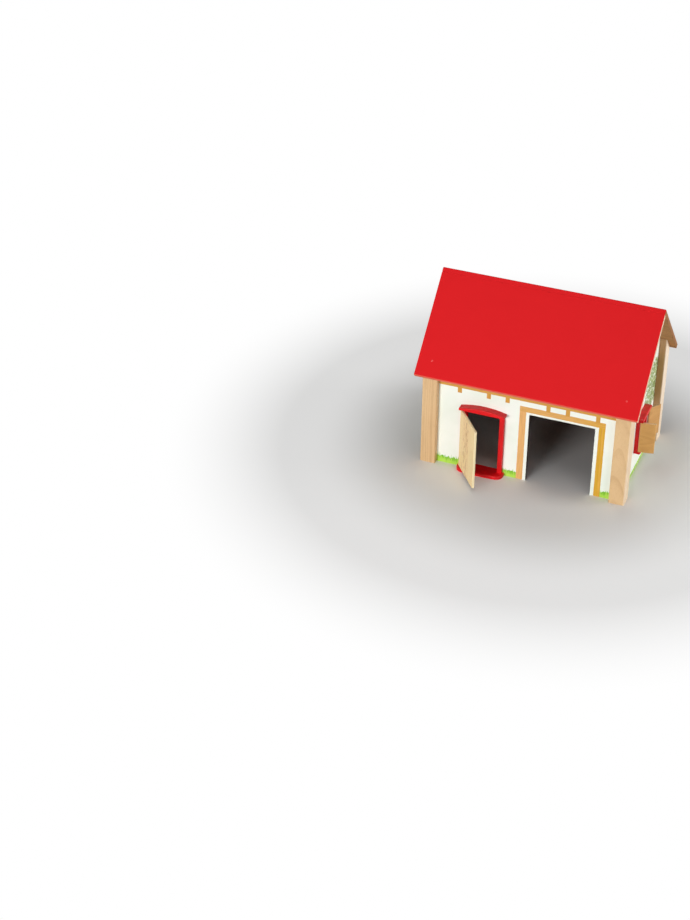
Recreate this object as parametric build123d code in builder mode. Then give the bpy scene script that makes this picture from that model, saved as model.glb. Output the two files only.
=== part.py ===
from build123d import *
from math import cos, radians, sin, tan
import os

# Toy barn, in millimetres. X runs along the front, Y to the back, Z up.
# The origin lies on the ground, in the middle of the front wall's foot.
# Four grooved posts hold four plywood walls. Two roof boards are nailed over them.
# A moulded door frame and a moulded window frame line cut-outs in the walls.
# The door and the two shutters turn on small nails driven through those frames.

# Body
barn_length = 216.0  # over the posts
barn_depth = 144.0  # over the posts
post_width = 16.0
post_edge_radius = 0.8
wall_thickness = 4.0
groove_depth = 3.0
gable_recess = 1.4  # from the middle of a post to the middle of a gable wall
glue_gap = 0.05

# Roof
ridge_height = 187.6
roof_pitch = 46.0
gable_overhang = 7.0
eave_overhang = 7.9
roof_board_thickness = 5.0
roof_edge_radius = 0.7

# Gate opening in the front wall
gate_offset = 0.1727  # right of the barn's middle, as a share of its length
gate_width = 67.8
gate_height = 78.3

# Nails and their seats
nail_radius = 0.6
nail_head_radius = 1.2
nail_head_height = 0.45
nail_head_crown = 0.8
nail_point_length = 1.2
driven_clearance = 0.01
running_clearance = 0.05
head_recess_clearance = 0.3
head_gap = 0.1
roof_nail_length = 10.5
roof_nail_inset = 3.5  # from the post's centre towards the eave
pin_length = 11.0
pin_point_length = 0.0  # hinge pins end flat

# Leaves, the door and the shutters
leaf_thickness = 2.5
leaf_jamb_gap = 0.3
leaf_end_gap = 0.4
leaf_edge_radius = 0.4

# Door frame
door_offset = 0.2032  # left of the barn's middle, as a share of its length
door_clear_width = 35.4
door_head = 71.1  # underside of the lintel
door_step_height = 3.6
door_step_width = 49.5
door_step_reach = 12.1
door_step_crown = 1.7
door_step_corner = 7.5
door_jamb_width = 5.0
door_jamb_proud = 3.65
door_lintel_width = 48.3
door_lintel_reach = 8.1
door_lintel_end = 2.2
door_lintel_rise = 3.2
door_opening_angle = 52.6
door_nail_recess = 1.1

# Window frame
window_clear_width = 23.0
window_sill_top = 29.5
window_head = 64.8
window_sill_height = 2.0
window_sill_width = 33.8
window_sill_reach = 7.2
window_sill_crown = 0.4
window_sill_corner = 1.6
window_jamb_width = 5.0
window_jamb_proud = 3.65
window_lintel_width = 33.8
window_lintel_reach = 7.2
window_lintel_end = 2.7
window_lintel_rise = 1.6
front_shutter_angle = 79.5
rear_shutter_angle = 147.6
window_nail_recess = 0.8

# Both frames
collar_thickness = 1.5
step_edge_radius = 0.9
jamb_edge_radius = 0.7
lintel_edge_bevel = 0.6

# Lines that several pieces share
post_x = (barn_length - post_width) / 2
front_post_y = 0.0
rear_post_y = barn_depth - post_width
ridge_y = (front_post_y + rear_post_y) / 2
front_face = -wall_thickness / 2
gable_face = post_x - gable_recess + wall_thickness / 2
pitch = radians(roof_pitch)
board_drop = roof_board_thickness / cos(pitch)
groove_width = wall_thickness + 2 * glue_gap
groove_end = post_width / 2 - groove_depth
roof_length = barn_length + 2 * gable_overhang
roof_lap = (roof_board_thickness + glue_gap) / sin(2 * pitch)
roof_board_width = (barn_depth / 2 + eave_overhang) / cos(pitch) - roof_lap
door_centre = -door_offset * barn_length
gate_centre = gate_offset * barn_length

door_wall = Plane(origin=(door_centre, front_face, 0), x_dir=(1, 0, 0), z_dir=(0, -1, 0))
window_wall = Plane(origin=(gable_face, ridge_y, 0), x_dir=(0, 1, 0), z_dir=(1, 0, 0))

os.makedirs("parts", exist_ok=True)


def save(piece, name):
    """Label a finished piece and write it under its own name."""
    piece.part.label = name
    export_step(piece.part, f"parts/{name}.step")


def roof_underside(y):
    """Height of the roof's underside over a point y of the ground."""
    return ridge_height - board_drop - abs(y - ridge_y) * tan(pitch)


def level(wall, height):
    """Horizontal plane at a height, with its X along the wall and its -Y pointing out of it."""
    return Plane(origin=wall.origin + Vector(0, 0, height), x_dir=wall.x_dir, z_dir=(0, 0, 1))


def nails(head_seats, length, point_length):
    """Round nails with bevelled heads. Each plane lies under a head, its Z along the shank."""
    with BuildPart() as piece:
        for seat in head_seats:
            with BuildSketch(Plane(origin=seat.origin, x_dir=seat.x_dir, z_dir=-seat.y_dir)):
                with BuildLine():
                    Polyline(
                        (0, -nail_head_height),
                        (0, length),
                        (nail_radius, length - point_length),
                        (nail_radius, 0),
                        (nail_head_radius, 0),
                        (nail_head_crown, -nail_head_height),
                        close=True,
                    )
                make_face()
            revolve(axis=Axis(seat.origin, seat.z_dir))
    return piece


# --- Nail places ---------------------------------------------------------------------------


def roof_nail_seats(rear):
    """Planes under the heads of the nails that hold one roof board to its two posts."""
    way = 1 if rear else -1
    y = ridge_y + way * ((rear_post_y - front_post_y) / 2 + roof_nail_inset)
    z = roof_underside(y) + board_drop
    outward = Vector(0, way * sin(pitch), cos(pitch))
    seats = []
    for side in (-1, 1):
        head = Vector(side * post_x, y, z) - outward * nail_head_height
        seats.append(Plane(origin=head, x_dir=(1, 0, 0), z_dir=-outward))
    return seats


def pivot_offset(clear_width, jamb_width):
    """Distance of a leaf's pin from the opening's middle: its round edge ends with the jamb."""
    return clear_width / 2 + jamb_width - leaf_thickness / 2


def pivot_reach(jamb_proud):
    """Distance of a leaf's pin from the wall's face."""
    return jamb_proud + leaf_jamb_gap + leaf_thickness / 2


door_pivot = pivot_offset(door_clear_width, door_jamb_width)
window_pivot = pivot_offset(window_clear_width, window_jamb_width)
door_reach = pivot_reach(door_jamb_proud)
window_reach = pivot_reach(window_jamb_proud)
door_bottom = door_step_height + 2 * leaf_jamb_gap
door_top = door_head - leaf_end_gap
shutter_bottom = window_sill_top + leaf_end_gap
shutter_top = window_head - leaf_end_gap

# --- Posts ---------------------------------------------------------------------------------


def post(side, rear):
    """Square post with a groove for each of its two walls and a top cut to the roof's slope."""
    y = rear_post_y if rear else front_post_y
    inward = -1 if rear else 1
    with BuildPart() as piece:
        with BuildSketch(Plane.XY.shift_origin((side * post_x, y, 0))):
            Rectangle(post_width, post_width)
        extrude(amount=ridge_height)
        fillet(edges().filter_by(Axis.Z), post_edge_radius)
        with BuildSketch(Plane.XY.shift_origin((side * post_x, y, 0))):
            with Locations((-side * (groove_end + groove_depth), 0)):
                Rectangle(2 * groove_depth, groove_width)
            with Locations((-side * gable_recess, inward * (groove_end + groove_depth))):
                Rectangle(groove_width, 2 * groove_depth)
        extrude(amount=ridge_height, mode=Mode.SUBTRACT)
        with BuildSketch(Plane.YZ.offset(side * post_x - post_width)):
            low = y - inward * post_width
            high = y + inward * post_width
            with BuildLine():
                Polyline(
                    (low, roof_underside(low)),
                    (high, roof_underside(high)),
                    (high, 2 * ridge_height),
                    (low, 2 * ridge_height),
                    close=True,
                )
            make_face()
        extrude(amount=2 * post_width, mode=Mode.SUBTRACT)
        for seat in roof_nail_seats(rear):
            with BuildSketch(seat):
                Circle(nail_radius + driven_clearance)
            extrude(amount=roof_nail_length + 2 * driven_clearance, mode=Mode.SUBTRACT)
    return piece


for side, hand in ((-1, "left"), (1, "right")):
    save(post(side, rear=False), f"post_front_{hand}")
    save(post(side, rear=True), f"post_rear_{hand}")

# --- Walls ---------------------------------------------------------------------------------

long_wall_half = post_x - groove_end - glue_gap
long_wall_top = roof_underside(front_face) - glue_gap
gable_start = front_post_y + groove_end + glue_gap
gable_end = rear_post_y - groove_end - glue_gap


def gable_wall(outer_face):
    """Gable wall between two grooves, cut to the roof's two slopes."""
    with BuildPart() as piece:
        with BuildSketch(Plane.YZ.offset(outer_face)):
            with BuildLine():
                Polyline(
                    (gable_start, 0),
                    (gable_end, 0),
                    (gable_end, roof_underside(gable_end) - glue_gap),
                    (ridge_y, roof_underside(ridge_y) - glue_gap),
                    (gable_start, roof_underside(gable_start) - glue_gap),
                    close=True,
                )
            make_face()
        extrude(amount=wall_thickness)
    return piece


def upright(low, high, width, centre=0.0):
    """Rectangle between two heights, on a plane whose Y is up."""
    with Locations((centre, (low + high) / 2)):
        Rectangle(width, high - low)


with BuildPart() as front_wall:
    with BuildSketch(Plane.XZ.offset(-wall_thickness / 2)):
        upright(0, long_wall_top, 2 * long_wall_half)
    extrude(amount=wall_thickness)
    with BuildSketch(Plane.XZ.offset(-wall_thickness)):
        upright(-glue_gap, gate_height, gate_width, gate_centre)
        lined_width = door_clear_width + 2 * (collar_thickness + glue_gap)
        upright(-glue_gap, door_head + collar_thickness + glue_gap, lined_width, door_centre)
    extrude(amount=2 * wall_thickness, mode=Mode.SUBTRACT)
save(front_wall, "front_wall")

with BuildPart() as rear_wall:
    with BuildSketch(Plane.XZ.offset(-rear_post_y - wall_thickness / 2)):
        upright(0, long_wall_top, 2 * long_wall_half)
    extrude(amount=wall_thickness)
save(rear_wall, "rear_wall")

save(gable_wall(-gable_face), "left_gable_wall")

with BuildPart() as right_gable_wall:
    add(gable_wall(gable_face - wall_thickness))
    with BuildSketch(window_wall.offset(wall_thickness)):
        lined_width = window_clear_width + 2 * (collar_thickness + glue_gap)
        low = window_sill_top - collar_thickness - glue_gap
        upright(low, window_head + collar_thickness + glue_gap, lined_width)
    extrude(amount=-3 * wall_thickness, mode=Mode.SUBTRACT)
save(right_gable_wall, "right_gable_wall")

# --- Roof ----------------------------------------------------------------------------------


def slope_point(rear, along, under):
    """Point of a roof board's section: so far down its outer slope, so deep under it."""
    way = 1 if rear else -1
    y = ridge_y + way * (along * cos(pitch) - under * sin(pitch))
    return (y, ridge_height - along * sin(pitch) - under * cos(pitch))


def roof_board(rear):
    """The rear board runs up to the ridge. The front board butts against its underside."""
    thick = roof_board_thickness
    start = 0 if rear else roof_lap
    end = start + roof_board_width
    lean = -thick / tan(2 * pitch)
    with BuildPart() as piece:
        with BuildSketch(Plane.YZ.offset(-roof_length / 2)) as section:
            with BuildLine():
                Polyline(
                    slope_point(rear, start, 0),
                    slope_point(rear, end, 0),
                    slope_point(rear, end, thick),
                    slope_point(rear, start + lean, thick),
                    close=True,
                )
            make_face()
            fillet(section.vertices().group_by(Axis.Z)[0], roof_edge_radius)
        extrude(amount=roof_length)
        for seat in roof_nail_seats(rear):
            with BuildSketch(seat):
                Circle(nail_radius + driven_clearance)
            extrude(amount=roof_nail_length, mode=Mode.SUBTRACT)
            with BuildSketch(seat):
                Circle(nail_head_radius + driven_clearance)
            extrude(amount=-2 * nail_head_height, mode=Mode.SUBTRACT)
    return piece


save(roof_board(rear=False), "roof_front_board")
save(roof_board(rear=True), "roof_rear_board")
for rear, name in ((False, "front"), (True, "rear")):
    roof_nails = nails(roof_nail_seats(rear), roof_nail_length, nail_point_length)
    save(roof_nails, f"roof_nails_{name}")

# --- Frames --------------------------------------------------------------------------------


def outward(wall, shape):
    """How far the middle of an edge or face stands out of a wall's face."""
    return (shape.center() - wall.origin).dot(wall.z_dir)


def frame_moulding(wall, clear_width, head, sill, jamb, lintel, collar_foot, pin):
    """One moulded frame: a sill or step, two jambs, an arched lintel and a collar in the wall.

    sill is its top, height, width, reach, crown and corner; jamb is its width and how proud it
    stands; lintel is its width, reach, end height and rise; pin is the list of its places along
    the wall, its reach from the wall and how deep its heads sit in the sill.
    """
    sill_top, sill_height, sill_width, sill_reach, sill_crown, sill_corner = sill
    jamb_width, jamb_proud = jamb
    lintel_width, lintel_reach, lintel_end, lintel_rise = lintel
    pin_places, pin_reach, pin_recess = pin
    foot = sill_top - sill_height
    half_sill = sill_width / 2
    half_lintel = lintel_width / 2
    side_reach = sill_reach - sill_crown
    jamb_middle = (clear_width + jamb_width) / 2
    lintel_side = head + lintel_end
    with BuildPart() as piece:
        # Sill with a bowed front, rounded corners and a soft upper edge
        with BuildSketch(level(wall, foot)) as outline:
            with BuildLine():
                Polyline(
                    (half_sill, -side_reach),
                    (half_sill, 0),
                    (-half_sill, 0),
                    (-half_sill, -side_reach),
                )
                ThreePointArc((-half_sill, -side_reach), (0, -sill_reach), (half_sill, -side_reach))
            make_face()
            fillet(outline.vertices().group_by(Axis.Y)[0], sill_corner)
        extrude(amount=sill_height)
        rim = faces().sort_by(Axis.Z)[-1].edges()
        fillet(rim.filter_by(lambda edge: outward(wall, edge) > glue_gap), step_edge_radius)
        # Jambs with soft front edges, standing in the sill
        with BuildSketch(level(wall, foot)) as section:
            with Locations((-jamb_middle, -jamb_proud / 2), (jamb_middle, -jamb_proud / 2)):
                Rectangle(jamb_width, jamb_proud)
            fillet(section.vertices().group_by(Axis.Y)[0], jamb_edge_radius)
        extrude(amount=head - foot)
        # Lintel, a small canopy with an arched top and bevelled front edges
        with BuildSketch(wall):
            with BuildLine():
                Polyline(
                    (half_lintel, lintel_side),
                    (half_lintel, head),
                    (-half_lintel, head),
                    (-half_lintel, lintel_side),
                )
                ThreePointArc(
                    (-half_lintel, lintel_side),
                    (0, lintel_side + lintel_rise),
                    (half_lintel, lintel_side),
                )
            make_face()
        extrude(amount=lintel_reach)
        front = faces().sort_by(lambda face: outward(wall, face))[-1]
        chamfer(front.edges(), lintel_edge_bevel)
        # Collar that lines the wall's cut-out
        with BuildSketch(wall):
            upright(collar_foot, head + collar_thickness, clear_width + 2 * collar_thickness)
            with Locations((0, (sill_top + head) / 2)):
                Rectangle(clear_width, head - sill_top, mode=Mode.SUBTRACT)
        extrude(amount=-wall_thickness)
        # Running holes for the pins, with a seat for each head
        for place in pin_places:
            with BuildSketch(level(wall, foot - sill_height)):
                with Locations((place, -pin_reach)):
                    Circle(nail_radius + running_clearance)
            extrude(amount=2 * head, mode=Mode.SUBTRACT)
            with BuildSketch(level(wall, foot - sill_height)):
                with Locations((place, -pin_reach)):
                    Circle(nail_head_radius + head_recess_clearance)
            extrude(amount=sill_height + pin_recess, mode=Mode.SUBTRACT)
            with BuildSketch(level(wall, lintel_side)):
                with Locations((place, -pin_reach)):
                    Circle(nail_head_radius + head_recess_clearance)
            extrude(amount=lintel_end + lintel_rise, mode=Mode.SUBTRACT)
    return piece


def pin_seats(wall, place, reach, low, high):
    """Planes under the heads of a leaf's two pins: one points up through the sill, one down."""
    spot = wall.origin + wall.x_dir * place + wall.z_dir * reach
    return [
        Plane(origin=spot + Vector(0, 0, low - head_gap), x_dir=wall.x_dir, z_dir=(0, 0, 1)),
        Plane(origin=spot + Vector(0, 0, high + head_gap), x_dir=wall.x_dir, z_dir=(0, 0, -1)),
    ]


def leaf(wall, place, reach, way, angle, length, bottom, top, seats):
    """A leaf standing open at an angle, its hinge edge rounded about the pins."""
    turn = radians(angle)
    along = wall.x_dir * (way * cos(turn)) + wall.z_dir * sin(turn)
    foot = wall.origin + wall.x_dir * place + wall.z_dir * reach + Vector(0, 0, bottom)
    half = leaf_thickness / 2
    with BuildPart() as piece:
        with BuildSketch(Plane(origin=foot, x_dir=along, z_dir=(0, 0, 1))) as section:
            with BuildLine():
                Polyline((0, -half), (length, -half), (length, half), (0, half))
                ThreePointArc((0, half), (-half, 0), (0, -half))
            make_face()
            fillet(section.vertices().group_by(Axis.X)[-1], leaf_edge_radius)
        extrude(amount=top - bottom)
        for seat in seats:
            with BuildSketch(seat):
                Circle(nail_radius + driven_clearance)
            extrude(amount=pin_length + driven_clearance, mode=Mode.SUBTRACT)
    return piece


door_leaf_length = 2 * door_pivot + leaf_thickness / 2 - leaf_end_gap
shutter_length = window_pivot - leaf_end_gap
door_pins = pin_seats(
    door_wall, -door_pivot, door_reach, door_nail_recess, door_head + door_lintel_end
)
front_pins, rear_pins = (
    pin_seats(
        window_wall,
        place,
        window_reach,
        window_sill_top - window_sill_height + window_nail_recess,
        window_head + window_lintel_end,
    )
    for place in (-window_pivot, window_pivot)
)

door_frame = frame_moulding(
    door_wall,
    door_clear_width,
    door_head,
    sill=(
        door_step_height,
        door_step_height,
        door_step_width,
        door_step_reach,
        door_step_crown,
        door_step_corner,
    ),
    jamb=(door_jamb_width, door_jamb_proud),
    lintel=(door_lintel_width, door_lintel_reach, door_lintel_end, door_lintel_rise),
    collar_foot=0,
    pin=([-door_pivot], door_reach, door_nail_recess),
)
save(door_frame, "door_frame")
save(
    leaf(
        door_wall,
        -door_pivot,
        door_reach,
        1,
        door_opening_angle,
        door_leaf_length,
        door_bottom,
        door_top,
        door_pins,
    ),
    "door_leaf",
)
save(nails(door_pins, pin_length, pin_point_length), "door_pins")

window_frame = frame_moulding(
    window_wall,
    window_clear_width,
    window_head,
    sill=(
        window_sill_top,
        window_sill_height,
        window_sill_width,
        window_sill_reach,
        window_sill_crown,
        window_sill_corner,
    ),
    jamb=(window_jamb_width, window_jamb_proud),
    lintel=(window_lintel_width, window_lintel_reach, window_lintel_end, window_lintel_rise),
    collar_foot=window_sill_top - collar_thickness,
    pin=([-window_pivot, window_pivot], window_reach, window_nail_recess),
)
save(window_frame, "window_frame")
for name, way, angle, seats in (
    ("front", 1, front_shutter_angle, front_pins),
    ("rear", -1, rear_shutter_angle, rear_pins),
):
    shutter = leaf(
        window_wall,
        -way * window_pivot,
        window_reach,
        way,
        angle,
        shutter_length,
        shutter_bottom,
        shutter_top,
        seats,
    )
    save(shutter, f"shutter_{name}")
    save(nails(seats, pin_length, pin_point_length), f"shutter_{name}_pins")
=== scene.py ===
"""Dresses the packed toy barn.

The corner posts and the four walls keep the packed shapes and get their wood and print.
The roof boards, the moulded frames, the leaves and the nails are made here in the same places.
The pieces are worked out in millimetres, and MM turns them into metres. The stage is in metres.
"""

from math import cos, pi, radians, sin, tan

import bmesh
import bpy
from mathutils import Matrix, Vector


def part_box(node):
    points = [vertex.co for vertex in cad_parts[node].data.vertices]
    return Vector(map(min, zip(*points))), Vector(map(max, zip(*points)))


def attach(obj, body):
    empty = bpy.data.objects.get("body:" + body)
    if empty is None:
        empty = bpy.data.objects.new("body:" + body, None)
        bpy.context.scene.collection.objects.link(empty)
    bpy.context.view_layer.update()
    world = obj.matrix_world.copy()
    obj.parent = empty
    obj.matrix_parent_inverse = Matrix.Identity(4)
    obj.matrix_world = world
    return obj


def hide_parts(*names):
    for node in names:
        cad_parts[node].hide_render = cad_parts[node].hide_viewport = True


bl_info = {
    "name": "Toy Barn",
    "version": (1, 0, 0),
    "blender": (4, 5, 0),
    "location": "View3D > Sidebar > Toy Barn",
    "description": "Makes the finished pieces of a wooden toy barn around its packed frame",
    "category": "Object",
}

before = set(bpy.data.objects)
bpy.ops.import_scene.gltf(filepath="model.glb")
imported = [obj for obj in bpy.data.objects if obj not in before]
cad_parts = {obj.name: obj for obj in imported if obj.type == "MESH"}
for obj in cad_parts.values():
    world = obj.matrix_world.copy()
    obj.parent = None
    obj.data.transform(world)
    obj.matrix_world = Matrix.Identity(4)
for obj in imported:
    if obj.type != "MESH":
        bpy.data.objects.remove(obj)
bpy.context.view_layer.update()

MM = 0.001
UP = Vector((0, 0, 1))


# --- Settings ------------------------------------------------------------------------------


def length(label, text, millimetres):
    """A length setting whose default is given in millimetres."""
    return bpy.props.FloatProperty(
        name=label,
        description=text,
        default=millimetres * MM,
        min=0.0,
        precision=5,
        unit="LENGTH",
        subtype="DISTANCE",
    )


def place(label, text, millimetres):
    """A coordinate setting, which may be negative, given in millimetres."""
    return bpy.props.FloatProperty(
        name=label, description=text, default=millimetres * MM, precision=5, unit="LENGTH"
    )


def turn(label, text, degrees):
    """An angle setting whose default is given in degrees."""
    return bpy.props.FloatProperty(
        name=label, description=text, default=radians(degrees), unit="ROTATION", subtype="ANGLE"
    )


def share(label, text, value, high=1.0):
    """A plain number setting from zero up."""
    return bpy.props.FloatProperty(
        name=label, description=text, default=value, min=0.0, max=high, subtype="FACTOR"
    )


def power(label, text, watts):
    """The power of a lamp."""
    return bpy.props.FloatProperty(
        name=label, description=text, default=watts, min=0.0, unit="POWER"
    )


def linear(red, green, blue):
    """Screen colour, 0 to 255, as the linear colour that Blender's nodes take."""

    def channel(value):
        value /= 255
        return value / 12.92 if value <= 0.04045 else ((value + 0.055) / 1.055) ** 2.4

    return (channel(red), channel(green), channel(blue))


def shaded(tone, level):
    """A colour made darker or lighter by one factor."""
    return tuple(level * part for part in tone)


def colour(label, text, red, green, blue):
    """A colour setting whose default is a screen colour, 0 to 255."""
    return bpy.props.FloatVectorProperty(
        name=label,
        description=text,
        default=linear(red, green, blue),
        size=3,
        min=0.0,
        max=1.0,
        subtype="COLOR",
    )


class RoofSettings(bpy.types.PropertyGroup):
    """The two roof boards and their paint."""

    ridge_height: length("Ridge height", "Height of the ridge over the ground", 187.6)
    ridge_y: place("Ridge place", "Distance of the ridge behind the front wall", 64.0)
    pitch: turn("Pitch", "Slope of both boards", 46.0)
    board_length: length("Board length", "Length of a board along the ridge", 230.0)
    board_width: length("Board width", "Width of a board down the slope", 109.96)
    thickness: length("Thickness", "Thickness of a board", 5.0)
    lap: length("Lap", "How far the front board starts below the ridge", 5.053)
    arris: length("Arris", "Rounding of the sawn edges", 0.75)
    joint_arris: length("Joint arris", "Rounding of the two edges that meet below the ridge", 0.12)
    paint: colour("Paint", "Roof paint", 226, 28, 33)
    bare: colour("Bare edge", "Light wood of the front board's sawn edges", 240, 218, 188)
    # The rear board's sawn edges are coloured a darker brown than the front board's.
    bare_rear: colour("Rear edge", "Darker wood of the rear board's sawn edges", 164, 116, 78)
    under: colour("Underside", "Wood of the unpainted underside", 206, 154, 104)


class DoorFrameSettings(bpy.types.PropertyGroup):
    """The moulded frame round the doorway."""

    centre: place("Centre", "Place of the doorway's middle along the wall", -43.8912)
    clear_width: length("Clear width", "Width of the doorway", 35.4)
    sill_top: length("Step top", "Height of the step", 3.6)
    sill_height: length("Step height", "Thickness of the step", 3.6)
    sill_width: length("Step width", "Width of the step", 49.5)
    sill_reach: length("Step reach", "How far the step stands out in its middle", 12.1)
    sill_crown: length("Step crown", "How much the step's front is bowed", 1.7)
    sill_corner: length("Step corner", "Radius of the step's front corners", 7.5)
    head: length("Head", "Height of the lintel's underside", 71.1)
    jamb_width: length("Jamb width", "Width of a jamb", 5.0)
    jamb_proud: length("Jamb reach", "How far a jamb stands out of the wall", 3.65)
    lintel_width: length("Lintel width", "Width of the lintel", 48.3)
    lintel_reach: length("Lintel reach", "How far the lintel stands out", 8.1)
    lintel_end: length("Lintel end", "Height of the lintel at its ends", 2.2)
    lintel_rise: length("Lintel rise", "Rise of the lintel's arch", 3.2)
    collar_foot: length("Collar foot", "Height at which the collar starts", 0.0)
    pin_recess: length("Pin recess", "Depth of a pin head's seat under the step", 1.1)


class WindowFrameSettings(bpy.types.PropertyGroup):
    """The moulded frame round the window."""

    centre: place("Centre", "Place of the window's middle along the gable", 64.0)
    clear_width: length("Clear width", "Width of the window", 23.0)
    sill_top: length("Sill top", "Height of the sill's top", 29.5)
    sill_height: length("Sill height", "Thickness of the sill", 2.0)
    sill_width: length("Sill width", "Width of the sill", 33.8)
    sill_reach: length("Sill reach", "How far the sill stands out in its middle", 7.2)
    sill_crown: length("Sill crown", "How much the sill's front is bowed", 0.4)
    sill_corner: length("Sill corner", "Radius of the sill's front corners", 1.6)
    head: length("Head", "Height of the lintel's underside", 64.8)
    jamb_width: length("Jamb width", "Width of a jamb", 5.0)
    jamb_proud: length("Jamb reach", "How far a jamb stands out of the wall", 3.65)
    lintel_width: length("Lintel width", "Width of the lintel", 33.8)
    lintel_reach: length("Lintel reach", "How far the lintel stands out", 7.2)
    lintel_end: length("Lintel end", "Height of the lintel at its ends", 2.7)
    lintel_rise: length("Lintel rise", "Rise of the lintel's arch", 1.6)
    collar_foot: length("Collar foot", "Height at which the collar starts", 28.0)
    pin_recess: length("Pin recess", "Depth of a pin head's seat under the sill", 0.8)


class MouldingSettings(bpy.types.PropertyGroup):
    """What both moulded frames share."""

    collar: length("Collar", "Thickness of the collar in the wall", 1.5)
    wall: length("Wall", "Thickness of the wall that the collar lines", 4.0)
    sill_round: length("Sill rounding", "Rounding of the sill's or step's upper edge", 0.9)
    jamb_round: length("Jamb rounding", "Rounding of the jambs' front edges", 0.7)
    lintel_round: length("Lintel rounding", "Rounding of the lintel's front edges", 0.6)
    paint: colour("Colour", "Colour of the moulding", 228, 25, 31)
    gloss: share("Roughness", "Roughness of the glossy moulding", 0.36)


class LeafSettings(bpy.types.PropertyGroup):
    """The door and the two shutters."""

    thickness: length("Thickness", "Thickness of the plywood", 2.5)
    jamb_gap: length("Jamb gap", "Room between a leaf and its jambs", 0.3)
    end_gap: length("End gap", "Room at a leaf's top and free edge", 0.4)
    arris: length("Arris", "Softening of the sawn edges", 0.42)
    door_angle: turn("Door", "How far the door stands open", 52.6)
    front_angle: turn("Front shutter", "How far the front shutter stands open", 79.5)
    rear_angle: turn("Rear shutter", "How far the rear shutter stands open", 147.6)
    light: colour("Light wood", "Early wood of the birch face", 255, 235, 182)
    dark: colour("Dark wood", "Late wood of the birch face", 230, 162, 98)
    edge: colour("Edge", "Light layers of the door's sawn edge", 255, 236, 190)
    shutter_light: colour("Shutter wood", "Light wood of the shutters", 252, 197, 122)
    shutter_dark: colour("Shutter grain", "Dark wood of the shutters", 214, 144, 72)
    shutter_edge: colour("Shutter edge", "Light layers of the shutters' sawn edge", 240, 200, 152)
    # Painted shade: the rear shutter's colours are darkened by this factor.
    rear_shade: share("Rear shutter", "Lightness of the rear shutter beside the front one", 0.73)


class NailSettings(bpy.types.PropertyGroup):
    """The roof nails and the hinge pins."""

    radius: length("Radius", "Radius of a shank", 0.6)
    head_radius: length("Head radius", "Radius of a head", 1.2)
    head_height: length("Head height", "Height of a head", 0.45)
    crown: length("Head crown", "Radius of a head's flat top", 0.7)
    roof_length: length("Roof nail", "Length of a roof nail's shank", 10.5)
    roof_point: length("Roof nail point", "Length of a roof nail's point", 1.2)
    pin_length: length("Hinge pin", "Length of a hinge pin's shank", 11.0)
    roof_inset: length("Roof nail inset", "From a post's middle towards the eave", 3.5)
    post_x: length("Post middle", "Distance of a post's middle from the barn's middle", 100.0)
    post_y: length("Post depth", "Distance of a post's middle from the ridge's line", 64.0)
    sink: length("Sink", "How far a roof nail's head sits in the board", 0.16)
    head_gap: length("Head gap", "Room under a hinge pin's head", 0.1)


class WoodSettings(bpy.types.PropertyGroup):
    """Solid wood of the corner posts."""

    light: colour("Light wood", "Early wood of the posts", 236, 201, 151)
    dark: colour("Dark wood", "Late wood of the posts", 186, 138, 88)
    # Painted shade: this brown darkens the posts' front faces. Painted light: the pale tint below
    # lightens their right faces.
    heart: colour("Heartwood", "Brown wood on a face cut near the heart", 172, 116, 66)
    right_face_light: colour("Sapwood", "Pale wood on a face cut near the bark", 250, 230, 204)
    spacing: length("Ring spacing", "Usual distance between growth rings", 2.9)
    rings: share("Rings", "Strength of the growth rings", 0.3)
    streaks: share("Streaks", "Strength of the fine fibres", 0.3)
    flecks: share("Flecks", "Strength of the short dark flecks", 0.22)


class PrintSettings(bpy.types.PropertyGroup):
    """The print on the plywood walls."""

    plaster: colour("Plaster", "Ground of the print", 248, 252, 243)
    plaster_cool: colour("Plaster shade", "Cooler patches of the ground", 238, 246, 234)
    # Painted shade: the timber under the eave has a more golden print, darkened further for the
    # shade of the eave.
    eave_beam_in_shade: colour("Eave timber", "Printed timber and short studs under the eave", 213, 157, 68)
    gate_beam: colour("Gate timber", "Printed timber over the gate", 226, 173, 98)
    left_beam: colour("Left timber", "Printed timber left of the gate", 234, 180, 114)
    right_beam: colour("Right timber", "Printed timber right of the gate", 220, 168, 48)
    beam_line: colour("Timber line", "Grain lines of the printed timber", 184, 122, 52)
    grass: colour("Grass", "Light blades", 184, 226, 86)
    grass_deep: colour("Deep grass", "Dark blades", 116, 190, 44)
    ivy: colour("Ivy", "Light leaves", 178, 194, 128)
    ivy_deep: colour("Deep ivy", "Dark leaves", 104, 128, 60)
    inside: colour("Inside", "Dark stain of the inner faces", 52, 27, 17)
    burnt: colour("Cut edge", "Scorched edge of the cut-outs", 58, 32, 20)
    band_foot: length("Eave timber foot", "Height at which the eave timber starts", 92.4)
    stub_foot: length("Stub foot", "Height at which the short studs end", 86.7)
    stub_width: length("Stub width", "Width of a short stud", 4.4)
    blade: length("Blade", "Spacing of the grass blades", 1.5)
    tallest: length("Tallest blade", "Height of the tallest blades", 13.0)
    turf: length("Turf", "Height of the closed grass at the foot", 7.4)
    gable_grass: share("Gable grass", "Size of the grass on the other walls", 0.5)
    leaf: length("Ivy leaf", "Spacing of the ivy leaves", 4.6)


class StageSettings(bpy.types.PropertyGroup):
    """Floor, light and camera."""

    floor: colour("Floor", "Plain pale floor", 240, 240, 238)
    floor_size: length("Floor size", "Side of the floor", 9000.0)
    floor_glow: share("Floor glow", "How much of the floor's white doesn't wait for light", 0.5)
    key: power("Key", "Power of the low lamp in front, a little left", 28.0)
    top: power("Top", "Power of the lamp overhead", 8.5)
    fill: power("Fill", "Power of the weak lamp in front, on the right", 6.0)
    side: power("Side", "Power of the lamp on the right", 26.0)
    sky: share("Surroundings", "Level of the even light from all round", 0.16, high=2.0)
    lens: bpy.props.FloatProperty(
        name="Lens", description="Focal length of the camera", default=76.45, unit="CAMERA"
    )


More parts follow.
